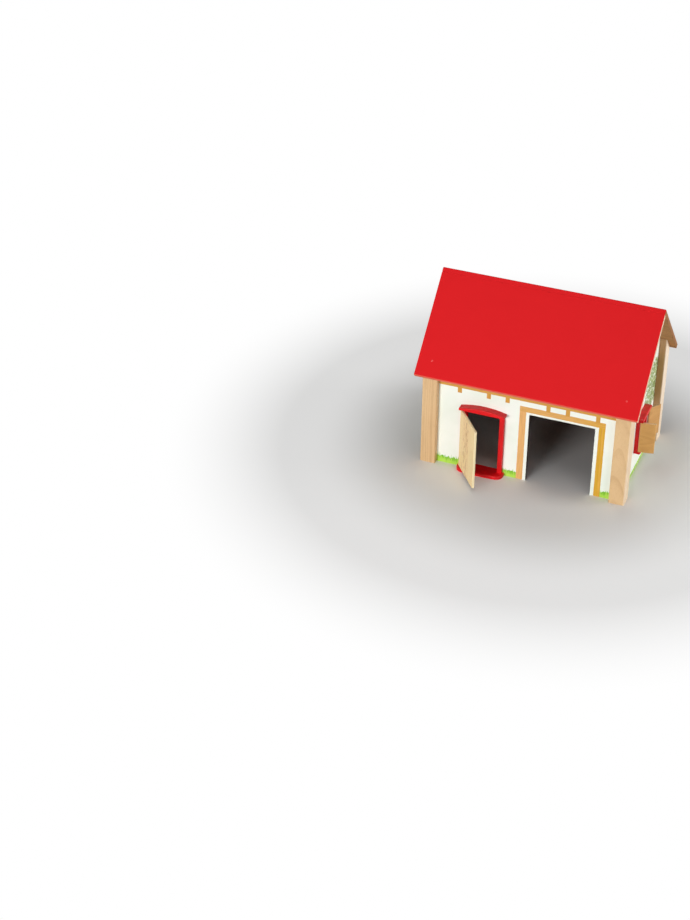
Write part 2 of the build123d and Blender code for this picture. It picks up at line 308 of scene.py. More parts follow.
GROUPS = {
    "roof": RoofSettings,
    "door_frame": DoorFrameSettings,
    "window_frame": WindowFrameSettings,
    "moulding": MouldingSettings,
    "leaves": LeafSettings,
    "nails": NailSettings,
    "wood": WoodSettings,
    "walls": PrintSettings,
    "stage": StageSettings,
}


class BarnSettings(bpy.types.PropertyGroup):
    """Everything a user may change on the barn."""

    roof: bpy.props.PointerProperty(type=RoofSettings, name="Roof")
    door_frame: bpy.props.PointerProperty(type=DoorFrameSettings, name="Door frame")
    window_frame: bpy.props.PointerProperty(type=WindowFrameSettings, name="Window frame")
    moulding: bpy.props.PointerProperty(type=MouldingSettings, name="Mouldings")
    leaves: bpy.props.PointerProperty(type=LeafSettings, name="Leaves")
    nails: bpy.props.PointerProperty(type=NailSettings, name="Nails")
    wood: bpy.props.PointerProperty(type=WoodSettings, name="Posts")
    walls: bpy.props.PointerProperty(type=PrintSettings, name="Walls")
    stage: bpy.props.PointerProperty(type=StageSettings, name="Stage")


def settings():
    """The settings of the open scene."""
    return bpy.context.scene.toy_barn


# --- Node building -------------------------------------------------------------------------


class Graph:
    """Adds nodes to one tree and joins them in short calls."""

    def __init__(self, tree):
        self.tree = tree
        tree.nodes.clear()

    def put(self, socket, value):
        """Link a socket, or set its value. A colour of three numbers gets a full alpha."""
        if isinstance(value, bpy.types.NodeSocket):
            self.tree.links.new(value, socket)
        elif socket.type == "RGBA":
            socket.default_value = (*tuple(value)[:3], 1.0)
        else:
            socket.default_value = value

    def fill(self, sockets, values):
        """Link or set several sockets by name or number. An empty value is left out."""
        for key, value in values.items():
            if value is not None:
                self.put(sockets[key], value)

    def node(self, kind, inputs=None, **options):
        """Add a node, set its options and fill the inputs given by name or number."""
        made = self.tree.nodes.new(kind)
        for key, value in options.items():
            setattr(made, key, value)
        self.fill(made.inputs, inputs or {})
        return made

    def math(self, operation, a, b=None, c=None, clamp=False):
        """One number from up to three."""
        inputs = {0: a, 1: b, 2: c}
        made = self.node("ShaderNodeMath", inputs, operation=operation, use_clamp=clamp)
        return made.outputs[0]

    def add(self, a, b):
        return self.math("ADD", a, b)

    def sub(self, a, b):
        return self.math("SUBTRACT", a, b)

    def mul(self, a, b):
        return self.math("MULTIPLY", a, b)

    def vector(self, operation, a, b=None, c=None, scale=None):
        """One vector from up to three."""
        inputs = {0: a, 1: b, 2: c, "Scale": scale}
        return self.node("ShaderNodeVectorMath", inputs, operation=operation).outputs["Vector"]

    def dot(self, a, b):
        """Length of one vector along another."""
        made = self.node("ShaderNodeVectorMath", {0: a, 1: b}, operation="DOT_PRODUCT")
        return made.outputs["Value"]

    def split(self, vector):
        """The three numbers of a vector."""
        return self.node("ShaderNodeSeparateXYZ", {0: vector}).outputs

    def join(self, x, y, z=0.0):
        """A vector from three numbers."""
        return self.node("ShaderNodeCombineXYZ", {0: x, 1: y, 2: z}).outputs[0]

    def noise(self, vector, scale=1.0, detail=2.0, distortion=0.0):
        """Smooth noise from 0 to 1, and its colour as a second output."""
        inputs = {"Vector": vector, "Scale": scale, "Detail": detail, "Distortion": distortion}
        return self.node("ShaderNodeTexNoise", inputs, noise_dimensions="3D").outputs

    def mottle(self, vector, stretch, detail=2.0):
        """Noise over a vector scaled by one number, or by three numbers along its axes."""
        if isinstance(stretch, tuple):
            spread = self.vector("MULTIPLY", vector, stretch)
        else:
            spread = self.vector("SCALE", vector, scale=stretch)
        return self.noise(spread, detail=detail)[0]

    def draw(self, value):
        """A number from 0 to 1 that looks drawn by lot, the same for the same value."""
        made = self.node("ShaderNodeTexWhiteNoise", {"W": value}, noise_dimensions="1D")
        return made.outputs["Value"]

    def span(self, value, low, high, start=0.0, end=1.0, kind="LINEAR"):
        """Straight step of a value between two edges."""
        inputs = {"Value": value, 1: low, 2: high, 3: start, 4: end}
        made = self.node("ShaderNodeMapRange", inputs, interpolation_type=kind, clamp=True)
        return made.outputs[0]

    def ease(self, value, low, high, start=0.0, end=1.0):
        """Smooth step of a value between two edges."""
        return self.span(value, low, high, start, end, "SMOOTHSTEP")

    def highest(self, a, b):
        """The greater of two numbers, or the second where there is no first yet."""
        return b if a is None else self.math("MAXIMUM", a, b)

    def over(self, below, above, mask):
        """Lay one number over another by a mask, or take it whole where there is none below."""
        return above if below is None else self.add(below, self.mul(self.sub(above, below), mask))

    def mix(self, factor, a, b):
        """Mix of two colours."""
        return self.node("ShaderNodeMix", {0: factor, 6: a, 7: b}, data_type="RGBA").outputs[2]

    def group(self, tree, inputs):
        """Place a shared group and fill its inputs by name."""
        return self.node("ShaderNodeGroup", inputs, node_tree=tree).outputs

    def millimetres(self):
        """Object coordinates in millimetres."""
        here = self.node("ShaderNodeTexCoord").outputs["Object"]
        return self.vector("SCALE", here, scale=1 / MM)


SOCKETS = {
    float: "NodeSocketFloat",
    int: "NodeSocketInt",
    tuple: "NodeSocketColor",
    Vector: "NodeSocketVector",
}


def shared_group(name, inputs, outputs, build, kind="ShaderNodeTree"):
    """Build a node group once. Later calls give the same one.

    An input is given by its default, or by its kind of socket where it has no default.
    """
    if name in bpy.data.node_groups:
        return bpy.data.node_groups[name]
    tree = bpy.data.node_groups.new(name, kind)
    graph = Graph(tree)
    for label, default in inputs.items():
        if isinstance(default, str):
            tree.interface.new_socket(label, in_out="INPUT", socket_type=default)
            continue
        form = SOCKETS[type(default)]
        socket = tree.interface.new_socket(label, in_out="INPUT", socket_type=form)
        socket.default_value = (*default, 1.0) if isinstance(default, tuple) else default
    for label, form in outputs.items():
        form = SOCKETS.get(form, form)
        tree.interface.new_socket(label, in_out="OUTPUT", socket_type=form)
    given = tree.nodes.new("NodeGroupInput").outputs
    wanted = tree.nodes.new("NodeGroupOutput").inputs
    build(graph, given, wanted)
    return tree


def new_material(name, build):
    """A material with a Principled shader, filled by a function of its graph and shader."""
    material = bpy.data.materials.new(name)
    material.use_nodes = True
    graph = Graph(material.node_tree)
    shader = graph.node("ShaderNodeBsdfPrincipled")
    output = graph.node("ShaderNodeOutputMaterial")
    graph.put(output.inputs["Surface"], shader.outputs[0])
    build(graph, shader)
    return material


def wood_group():
    """Solid wood with its grain along Z: growth rings round an axis, fibres and flecks."""

    # A stretch is two numbers across the grain and a smaller one along it.
    def build(g, given, wanted):
        here = given["Position"]
        warp = g.noise(g.vector("MULTIPLY", here, (0.03, 0.03, 0.008)))["Color"]
        warp = g.vector("SCALE", g.vector("SUBTRACT", warp, (0.5, 0.5, 0.5)), scale=given["Warp"])
        bent = g.split(g.vector("ADD", here, warp))
        radius = g.math("SQRT", g.add(g.mul(bent["X"], bent["X"]), g.mul(bent["Y"], bent["Y"])))
        uneven = g.noise(g.join(g.mul(radius, 0.17), 3.7, g.mul(bent["Z"], 0.001)), detail=2.0)[0]
        years = g.add(g.math("DIVIDE", radius, given["Spacing"]), g.mul(uneven, 5.0))
        phase = g.math("FRACT", years)
        year = g.draw(g.math("FLOOR", years))
        late = g.mul(g.ease(phase, 0.15, 0.88), g.ease(phase, 0.88, 1.0, 1.0, 0.0))
        late = g.mul(late, g.span(year, 0.0, 1.0, 0.25, 1.0))
        fibre = g.mottle(here, (2.2, 2.2, 0.035), 4.0)
        fine = g.mottle(here, (7.0, 7.0, 0.12), 2.0)
        fleck = g.mottle(here, (3.2, 3.2, 0.35), 1.0)
        fleck = g.ease(fleck, 0.6, 0.72)
        cloud = g.mottle(here, (0.035, 0.035, 0.012), 2.0)
        tone = g.mul(late, given["Rings"])
        streak = g.sub(g.add(fibre, g.mul(fine, 0.5)), 0.75)
        tone = g.add(tone, g.mul(streak, given["Streaks"]))
        tone = g.add(tone, g.mul(fleck, given["Flecks"]))
        tone = g.add(tone, g.mul(g.sub(cloud, 0.5), 0.5))
        tone = g.math("ADD", tone, 0.22, clamp=True)
        height = g.sub(g.add(g.mul(late, 0.4), g.mul(fibre, 0.6)), g.mul(fleck, 0.5))
        colours = g.mix(tone, given["Light"], given["Dark"])
        g.fill(wanted, {"Color": colours, "Tone": tone, "Height": height})

    inputs = {
        "Position": Vector((0, 0, 0)),
        "Light": (0.8, 0.6, 0.4),
        "Dark": (0.5, 0.3, 0.15),
        "Spacing": 3.0,
        "Warp": 6.0,
        "Rings": 0.4,
        "Streaks": 0.35,
        "Flecks": 0.3,
    }
    outputs = {"Color": tuple, "Tone": float, "Height": float}
    return shared_group("solid wood", inputs, outputs, build)


def knot_group():
    """Dark round knots scattered over wood whose grain runs along Z."""

    def build(g, given, wanted):
        flat = g.vector("MULTIPLY", given["Position"], (1 / 34, 1 / 34, 1 / 52))
        cells = g.node("ShaderNodeTexVoronoi", {"Vector": flat, "Scale": 1.0, "Randomness": 1.0})
        spread = g.mottle(given["Position"], (0.5, 0.5, 0.2), 2.0)
        distance = g.add(cells.outputs["Distance"], g.mul(g.sub(spread, 0.5), 0.05))
        heart = g.ease(distance, 0.045, 0.075, 1.0, 0.0)
        halo = g.ease(distance, 0.05, 0.19, 1.0, 0.0)
        rare = g.math("GREATER_THAN", g.split(cells.outputs["Color"])["X"], given["Rarity"])
        g.fill(wanted, {"Heart": g.mul(heart, rare), "Halo": g.mul(halo, rare)})

    inputs = {"Position": Vector((0, 0, 0)), "Rarity": 0.55}
    return shared_group("knots", inputs, {"Heart": float, "Halo": float}, build)


def ply_group():
    """Layers seen on a sawn plywood edge, with dark glue lines between them."""

    def build(g, given, wanted):
        layer = g.mul(g.math("DIVIDE", given["Depth"], given["Thickness"]), given["Layers"])
        place_in = g.math("FRACT", layer)
        odd = g.math("MODULO", g.math("FLOOR", layer), 2.0)
        glue = g.math("MINIMUM", place_in, g.sub(1.0, place_in))
        glue = g.ease(glue, 0.02, 0.1, 1.0, 0.0)
        grain = g.mottle(given["Position"], (2.6, 2.6, 2.6), 3.0)
        tone = g.add(g.mul(odd, 0.34), g.mul(g.sub(grain, 0.5), 0.5))
        tone = g.math("ADD", tone, g.mul(glue, 0.45), clamp=True)
        colours = g.mix(tone, given["Light"], given["Dark"])
        g.fill(wanted, {"Color": colours, "Height": g.sub(grain, g.mul(glue, 0.6))})

    inputs = {
        "Position": Vector((0, 0, 0)),
        "Depth": 0.0,
        "Thickness": 4.0,
        "Layers": 3.0,
        "Light": (0.8, 0.6, 0.4),
        "Dark": (0.5, 0.3, 0.15),
    }
    return shared_group("plywood edge", inputs, {"Color": tuple, "Height": float}, build)


def bar_group():
    """Mask of an upright rectangle of print with slightly uneven edges."""

    def build(g, given, wanted):
        wave = g.noise(g.join(g.mul(given["U"], 0.22), g.mul(given["V"], 0.22)), detail=3.0)[0]
        wave = g.mul(g.sub(wave, 0.5), 0.55)
        left = g.sub(given["U"], given["Left"])
        right = g.sub(given["Right"], given["U"])
        low = g.sub(given["V"], given["Foot"])
        high = g.sub(given["Top"], given["V"])
        inside = g.math("MINIMUM", g.math("MINIMUM", left, right), g.math("MINIMUM", low, high))
        g.put(wanted["Mask"], g.ease(g.add(inside, wave), -0.12, 0.12))

    inputs = {"U": 0.0, "V": 0.0, "Left": -1.0, "Right": 1.0, "Foot": -1.0, "Top": 1.0}
    return shared_group("printed bar", inputs, {"Mask": float}, build)


def grass_group():
    """A fringe of pointed blades in three rows, standing on V = 0, over closed turf."""
    # Each row's shift along the wall, its height and how light it is, from the back.
    rows = ((0.0, 1.0, 0.15), (0.43, 0.8, 0.55), (0.78, 0.62, 0.95))

    def build(g, given, wanted):
        mask, tone = None, None
        for number, (shift, tall, light) in enumerate(rows):
            lean = g.mul(g.noise(g.join(g.mul(given["U"], 0.12), number * 7.3), detail=0.0)[0], 0.5)
            along = g.sub(given["U"], g.mul(g.sub(lean, 0.25), g.mul(given["V"], 2.2)))
            across = g.add(g.math("DIVIDE", along, given["Blade"]), shift)
            spot = g.math("ABSOLUTE", g.sub(g.math("FRACT", across), 0.5))
            drawn = g.draw(g.add(g.math("FLOOR", across), number * 31.7 + 0.5))
            tip = g.mul(given["Tallest"], g.mul(g.add(g.mul(drawn, 0.5), 0.5), tall))
            left = g.sub(1.0, g.math("DIVIDE", given["V"], tip))
            blade = g.ease(g.sub(left, g.mul(spot, 1.3)), 0.0, 0.08)
            shade = g.math("ADD", g.mul(g.sub(drawn, 0.5), 0.35), light, clamp=True)
            mask = g.highest(mask, blade)
            tone = g.over(tone, shade, blade)
        tuft = g.noise(g.join(g.mul(given["U"], 0.32), 5.0), detail=2.0)[0]
        turf = g.mul(given["Turf"], g.add(g.mul(tuft, 1.2), 0.4))
        base = g.ease(g.sub(turf, given["V"]), 0.0, 0.25)
        g.fill(wanted, {"Mask": g.highest(mask, base), "Tone": tone})

    inputs = {"U": 0.0, "V": 0.0, "Blade": 1.5, "Tallest": 9.0, "Turf": 4.0}
    return shared_group("printed grass", inputs, {"Mask": float, "Tone": float}, build)


def ivy_group():
    """Crowded lobed leaves of mixed greens that fill a ragged upright patch, as flat print."""
    layers = ((0.0, 0.0, 0.0), (3.4, 7.9, 0.0), (8.1, 2.6, 0.0))

    def build(g, given, wanted):
        flat = g.join(given["U"], given["V"])
        scaled = g.vector("SCALE", flat, scale=g.math("DIVIDE", 1.0, given["Leaf"]))
        mask, tone = None, None
        for shift in layers:
            spot = g.vector("ADD", scaled, shift)
            inputs = {"Vector": spot, "Scale": 1.0, "Randomness": 0.8}
            cells = g.node("ShaderNodeTexVoronoi", inputs, voronoi_dimensions="2D")
            offset = g.split(g.vector("SUBTRACT", spot, cells.outputs["Position"]))
            drawn = g.split(cells.outputs["Color"])
            angle = g.add(g.math("ARCTAN2", offset["Y"], offset["X"]), g.mul(drawn["X"], 2 * pi))
            lobes = g.add(g.mul(g.math("COSINE", g.mul(angle, 5.0)), 0.2), 0.8)
            point = g.add(g.mul(g.math("COSINE", angle), 0.14), 1.0)
            edge = g.mul(g.mul(lobes, point), g.add(g.mul(drawn["Y"], 0.16), 0.42))
            leaf = g.ease(g.sub(edge, cells.outputs["Distance"]), 0.0, 0.04)
            vein = g.math("ABSOLUTE", g.math("SINE", g.mul(angle, 2.5)))
            vein = g.mul(g.ease(vein, 0.0, 0.2, 1.0, 0.0), 0.3)
            shade = g.math("ADD", g.mul(drawn["Z"], 0.9), vein, clamp=True)
            mask = g.highest(mask, leaf)
            tone = g.over(tone, shade, leaf)
        ragged = g.mul(g.sub(g.mottle(flat, 0.11, 3.0), 0.5), 26.0)
        aside = g.sub(g.math("ABSOLUTE", given["U"]), given["Half Width"])
        above = g.sub(g.math("ABSOLUTE", given["V"]), given["Half Height"])
        outside = g.add(g.math("MAXIMUM", aside, above), ragged)
        near = g.ease(outside, -0.4, 0.4, 1.0, 0.0)
        g.fill(wanted, {"Leaf": g.mul(mask, near), "Tone": tone})

    inputs = {"U": 0.0, "V": 0.0, "Leaf": 4.0, "Half Width": 14.0, "Half Height": 20.0}
    return shared_group("printed ivy", inputs, {"Leaf": float, "Tone": float}, build)


def speckle_group():
    """Faint handling marks: masks for smudges and for specks, and a fine mottle."""

    def build(g, given, wanted):
        here = given["Position"]
        marks = {
            "Smudge": g.ease(g.mottle(here, 0.045, 4.0), 0.45, 0.7),
            "Speck": g.ease(g.mottle(here, 1.7, 1.0), 0.68, 0.75),
            "Fine": g.mottle(here, 2.4, 3.0),
        }
        g.fill(wanted, marks)

    outputs = {"Smudge": float, "Speck": float, "Fine": float}
    return shared_group("handling marks", {"Position": Vector((0, 0, 0))}, outputs, build)


def finish_surface(g, shader, height, depth, values):
    """Fill a shader's inputs and give it a height map that is so many millimetres deep."""
    bump = g.node("ShaderNodeBump", {"Strength": 1.0, "Distance": depth * MM, "Height": height})
    g.fill(shader.inputs, dict(values, Normal=bump.outputs[0]))


# --- Materials -----------------------------------------------------------------------------


# Tints of small marks, knots and wear.
SOILING = linear(150, 118, 82)
KNOT_HALO = linear(140, 86, 48)
KNOT_HEART = linear(74, 42, 26)
PRINT_MOTTLE = linear(205, 198, 180)
PRINT_SPECK = linear(190, 180, 160)
EDGE_BLUSH = linear(234, 112, 92)
ROOF_SPECK = linear(232, 66, 66)
WORN_PAINT = linear(228, 108, 84)
MOULDING_SPECK = linear(232, 70, 74)
LEAF_FIGURE = linear(176, 112, 56)
RUBBED_HEAD = linear(240, 110, 104)

# For each post: its place in the log across the grain, the lean of the grain, and how much
# painted shade darkens its front face and painted light pales its right face.
POSTS = {
    "post_front_left": (38.0, 24.0, 0.03, 0.1, 0.0),
    "post_front_right": (3.0, 30.0, 0.1, 0.0, 0.5),
    "post_rear_left": (21.0, -34.0, 0.05, 0.45, 0.0),
    "post_rear_right": (-30.0, 21.0, 0.06, 0.6, 0.75),
}

# The timber under the eave is printed past the wall's ends and up behind the roof.
EAVE_HALF = 110.0
EAVE_TOP = 130.0


def post_wood(number, node):
    """Sealed light wood with upright grain. Each post is sawn from another place of the log."""
    wood = settings().wood
    log_x, log_y, lean, heart, right_face_light = POSTS[node]
    low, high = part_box(node)
    middle = [(a + b) / 2 / MM for a, b in zip(low, high)]

    def build(g, shader):
        spot = g.split(g.vector("SUBTRACT", g.millimetres(), (middle[0], middle[1], 0.0)))
        across = g.add(spot["Y"], g.add(g.mul(spot["Z"], lean), log_y))
        here = g.join(g.add(spot["X"], log_x), across, g.add(spot["Z"], number * 310.0))
        inputs = {
            "Position": here,
            "Light": wood.light,
            "Dark": wood.dark,
            "Spacing": wood.spacing / MM,
            "Rings": wood.rings,
            "Streaks": wood.streaks,
            "Flecks": wood.flecks,
        }
        grain = g.group(wood_group(), inputs)
        marks = g.group(speckle_group(), {"Position": here})
        # Painted shade darkens the front face and painted light pales the right face, by the
        # amounts in POSTS.
        toned = g.mix(g.mul(g.ease(spot["Y"], -6.2, -7.6), heart), grain["Color"], wood.heart)
        toned = g.mix(g.mul(g.ease(spot["X"], 6.4, 7.9), right_face_light), toned, wood.right_face_light)
        surface = {
            "Base Color": g.mix(g.mul(marks["Smudge"], 0.05), toned, SOILING),
            "Roughness": g.span(grain["Tone"], 0.0, 1.0, 0.38, 0.54),
            "Coat Weight": 0.2,
            "Coat Roughness": 0.25,
        }
        finish_surface(g, shader, grain["Height"], 0.04, surface)

    return new_material(f"post wood {number + 1}", build)


def wall_layers(g, shader, depth, here, printed, print_height):
    """Plywood wall by its depth from the outer face: print, scorched edge, dark inner stain."""
    walls = settings().walls
    thick = settings().moulding.wall / MM
    board_width = 12.0
    outer = g.ease(depth, 0.03, 0.12, 1.0, 0.0)
    inner = g.ease(depth, thick - 0.12, thick - 0.03)
    parts = g.split(here)
    inputs = {
        "Position": here,
        "Depth": depth,
        "Thickness": thick,
        "Layers": 3.0,
        "Light": walls.burnt,
        "Dark": shaded(walls.burnt, 0.35),
    }
    edge = g.group(ply_group(), inputs)
    board = g.math("DIVIDE", parts["Z"], board_width)
    in_board = g.math("FRACT", board)
    gap = g.ease(g.math("MINIMUM", in_board, g.sub(1.0, in_board)), 0.015, 0.05, 1.0, 0.0)
    shift = g.join(9.0, g.mul(g.draw(g.math("FLOOR", board)), 90.0))
    along = g.join(parts["Z"], 40.0, g.add(parts["X"], parts["Y"]))
    inputs = {
        "Position": g.vector("ADD", along, shift),
        "Light": shaded(walls.inside, 1.25),
        "Dark": shaded(walls.inside, 0.45),
        "Spacing": 3.2,
        "Rings": 0.5,
    }
    stain = g.group(wood_group(), inputs)
    lined = g.mix(gap, stain["Color"], shaded(walls.inside, 0.2))
    surface = {
        "Base Color": g.mix(inner, g.mix(outer, edge["Color"], printed), lined),
        "Roughness": g.span(outer, 0.0, 1.0, 0.8, 0.45),
        "Specular IOR Level": 0.3,
    }
    finish_surface(g, shader, g.mix(outer, edge["Height"], print_height), 0.02, surface)


def printed_ground(g, here):
    """Off-white print with cooler patches, fine mottling and a little soiling."""
    walls = settings().walls
    patch = g.ease(g.mottle(here, 0.018, 3.0), 0.4, 0.62)
    marks = g.group(speckle_group(), {"Position": here})
    ground = g.mix(patch, walls.plaster, walls.plaster_cool)
    ground = g.mix(g.mul(g.ease(marks["Fine"], 0.45, 0.75), 0.05), ground, PRINT_MOTTLE)
    ground = g.mix(g.mul(marks["Speck"], 0.1), ground, PRINT_SPECK)
    return ground, marks["Fine"]


def printed_grass(g, along, height, ground, scale, clear=None):
    """Lay the grass fringe over a ground, except on a clear stretch. Gives the new colour."""
    walls = settings().walls
    inputs = {
        "U": along,
        "V": height,
        "Blade": walls.blade / MM,
        "Tallest": scale * walls.tallest / MM,
        "Turf": scale * walls.turf / MM,
    }
    grass = g.group(grass_group(), inputs)
    mask = grass["Mask"]
    if clear:
        beside = g.math("MAXIMUM", g.sub(clear[0], along), g.sub(along, clear[1]))
        mask = g.mul(mask, g.math("GREATER_THAN", beside, 0.0))
    return g.mix(mask, ground, g.mix(grass["Tone"], walls.grass_deep, walls.grass))


def printed_timber(g, along, height, bars, upright, timber, ground):
    """Lay printed bars over a ground, with lines along them. A bar is left, right, foot, top."""
    walls = settings().walls
    mask = None
    for left, right, foot, top in bars:
        inputs = {"U": along, "V": height, "Left": left, "Right": right, "Foot": foot, "Top": top}
        mask = g.highest(mask, g.group(bar_group(), inputs)["Mask"])
    wide, tall = (1.5, 0.06) if upright else (0.06, 1.5)
    line = g.noise(g.join(g.mul(along, wide), g.mul(height, tall)), detail=4.0)[0]
    broad = g.noise(g.join(g.mul(along, 0.3 * wide), g.mul(height, 0.5 * tall)))[0]
    toned = g.mix(g.mul(g.ease(line, 0.42, 0.72), 0.38), timber, walls.beam_line)
    toned = g.mix(g.mul(g.ease(broad, 0.5, 0.7), 0.22), toned, shaded(walls.left_beam, 1.2))
    return g.mix(mask, ground, toned)


def eave_timber(g, along, height, ground):
    """Lay the printed timber under the eave, in a gold darkened as painted shade."""
    walls = settings().walls
    bars = [(-EAVE_HALF, EAVE_HALF, walls.band_foot / MM, EAVE_TOP)]
    return printed_timber(g, along, height, bars, False, walls.eave_beam_in_shade, ground)


def front_wall_design(g, along, height, ground):
    """Grass, the gate's surround, short studs and the timber under the eave."""
    walls = settings().walls
    stub = walls.stub_foot / MM
    stud_top = walls.band_foot / MM + 1.0
    half = walls.stub_width / MM / 2
    gate_left, gate_right, gate_top = -6.7, 81.3, 86.6
    inner_left, inner_right, inner_top = 0.1, 74.8, 80.5
    below = -5.0
    joint = gate_top - 1.0
    free_studs = (-70.1, -39.5, -19.9)
    joined_studs = (22.4, 42.4, 73.2)
    studs = [(x - half, x + half, stub, stud_top) for x in free_studs]
    studs += [(x - half, x + half, joint, stud_top) for x in joined_studs]
    posts = [(gate_left, inner_left, below, joint), (inner_right, gate_right, below, joint)]
    head = [(gate_left, gate_right, inner_top, gate_top)]
    post_colour = g.mix(g.ease(along, 20.0, 60.0), walls.left_beam, walls.right_beam)
    corner = g.mul(g.ease(along, 45.0, 82.0), 0.8)
    head_colour = g.mix(corner, walls.gate_beam, walls.right_beam)
    painted = printed_grass(g, along, height, ground, 1.0, (gate_left, gate_right))
    painted = printed_timber(g, along, height, posts, True, post_colour, painted)
    painted = printed_timber(g, along, height, head, False, head_colour, painted)
    # The short studs share the eave timber's painted shade.
    painted = printed_timber(g, along, height, studs, True, walls.eave_beam_in_shade, painted)
    return eave_timber(g, along, height, painted)


def low_grass(g, along, height, ground):
    """Only a little grass."""
    return printed_grass(g, along, height, ground, settings().walls.gable_grass)


def window_gable_design(g, along, height, ground):
    """Ivy that climbs behind the window, and a little grass."""
    walls = settings().walls
    patch_y, patch_z = 102.0, 78.0
    inputs = {
        "U": g.sub(along, patch_y),
        "V": g.sub(height, patch_z),
        "Leaf": walls.leaf / MM,
        "Half Width": 25.0,
        "Half Height": 27.0,
    }
    ivy = g.group(ivy_group(), inputs)
    painted = g.mix(ivy["Leaf"], ground, g.mix(ivy["Tone"], walls.ivy_deep, walls.ivy))
    return low_grass(g, along, height, painted)


def rear_wall_design(g, along, height, ground):
    """A little grass and the timber under the eave."""
    return eave_timber(g, along, height, low_grass(g, along, height, ground))


def printed_wall(name, node, axis, way, design):
    """A printed wall's material. Axis and way say where its outer face looks."""
    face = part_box(node)[1 if way > 0 else 0]["XYZ".index(axis)] / MM

    def build(g, shader):
        here = g.millimetres()
        parts = g.split(here)
        ground, fine = printed_ground(g, here)
        painted = design(g, parts["Y" if axis == "X" else "X"], parts["Z"], ground)
        depth = g.mul(g.sub(face, parts[axis]), way)
        wall_layers(g, shader, depth, here, painted, fine)

    return new_material(name, build)


def slope_axes(way):
    """Directions down a roof slope and out of its face. Way is -1 in front and 1 behind."""
    pitch = settings().roof.pitch
    down = Vector((0, way * cos(pitch), -sin(pitch)))
    out = Vector((0, way * sin(pitch), cos(pitch)))
    return down, out


def ridge_point():
    """The ridge's middle, in millimetres."""
    roof = settings().roof
    return Vector((0, roof.ridge_y, roof.ridge_height)) / MM


def roof_finish(way):
    """Roof board: red paint outside and over the arris, sawn edges, bare wood beneath."""
    roof = settings().roof
    ridge = ridge_point()
    down, out = slope_axes(way)
    thick = roof.thickness / MM
    end = roof.board_length / MM / 2
    eave = (roof.board_width + (roof.lap if way < 0 else 0.0)) / MM
    # The rear board's sawn edges take the darker brown.
    bare = roof.bare if way < 0 else roof.bare_rear
    gable_blush = 0.3 if way < 0 else 0.0

    def build(g, shader):
        here = g.millimetres()
        x = g.split(here)["X"]
        from_ridge = g.vector("SUBTRACT", here, ridge)
        run = g.dot(from_ridge, down)
        depth = g.mul(g.dot(from_ridge, out), -1.0)
        marks = g.group(speckle_group(), {"Position": here})
        wander = g.mottle(here, (0.16, 0.3, 0.3), 3.0)
        streak = g.noise(g.join(g.mul(run, 0.9), 0.0, g.mul(x, 0.03)), detail=4.0)[0]

        # Bare wood, with knots beneath and without them on the sawn edges.
        log = g.join(g.add(run, 20.0 + 60.0 * way), g.add(depth, 26.0), g.add(x, 500.0 * way))
        inputs = {
            "Position": log,
            "Light": roof.under,
            "Dark": shaded(roof.under, 0.42),
            "Spacing": 4.6,
            "Warp": 12.0,
            "Rings": 0.5,
            "Streaks": 0.45,
        }
        under = g.group(wood_group(), inputs)
        knots = g.group(knot_group(), {"Position": log})
        wood = g.mix(g.mul(knots["Halo"], 0.45), under["Color"], KNOT_HALO)
        wood = g.mix(g.mul(knots["Heart"], 0.85), wood, KNOT_HEART)
        sawn = g.group(wood_group(), dict(inputs, Light=bare, Dark=shaded(bare, 0.62), Rings=0.3))

        # The paint reaches over the arris and reddens the edge below, less at the gables.
        gable = g.ease(g.math("ABSOLUTE", x), end - 0.8, end - 0.4)
        reach = g.add(g.mul(wander, g.sub(1.5, gable)), g.sub(0.2, g.mul(gable, 0.1)))
        paint = g.ease(g.sub(reach, depth), -0.12, 0.12)
        low = g.mul(g.ease(run, 25.0, 105.0), gable_blush)
        strength = g.add(0.85, g.mul(gable, g.sub(low, 0.85)))
        blush = g.mul(g.ease(g.sub(g.add(reach, 3.4), depth), -2.0, 1.0), strength)
        edge = g.mix(blush, sawn["Color"], EDGE_BLUSH)
        bare_wood = g.mix(g.math("LESS_THAN", depth, thick - 0.12), wood, edge)
        if way > 0:
            paint = g.math("MAXIMUM", paint, g.ease(run, 0.6, 0.9, 1.0, 0.0))

        # The paint itself, a little streaky and worn along the eave.
        deep = shaded(roof.paint, 0.9)
        tint = g.mix(g.mul(marks["Smudge"], 0.1), roof.paint, deep)
        tint = g.mix(g.mul(g.ease(streak, 0.4, 0.75), 0.1), tint, deep)
        tint = g.mix(g.mul(marks["Speck"], 0.06), tint, ROOF_SPECK)
        worn = g.mul(g.ease(run, eave - 1.3, eave - 0.5), g.ease(wander, 0.2, 0.5, 0.45, 0.8))
        tint = g.mix(worn, tint, WORN_PAINT)
        rough = g.add(g.mul(marks["Smudge"], 0.3), g.mul(streak, 0.7))
        rough = g.span(rough, 0.0, 1.0, 0.62, 0.74)
        film = g.add(g.mul(marks["Fine"], 0.35), g.mul(streak, 0.65))
        surface = {
            "Base Color": g.mix(paint, bare_wood, tint),
            "Roughness": g.add(rough, g.mul(g.sub(1.0, paint), 0.2)),
            "Specular IOR Level": 0.12,
        }
        finish_surface(g, shader, g.over(under["Height"], film, paint), 0.03, surface)

    return new_material("roof board front" if way < 0 else "roof board rear", build)


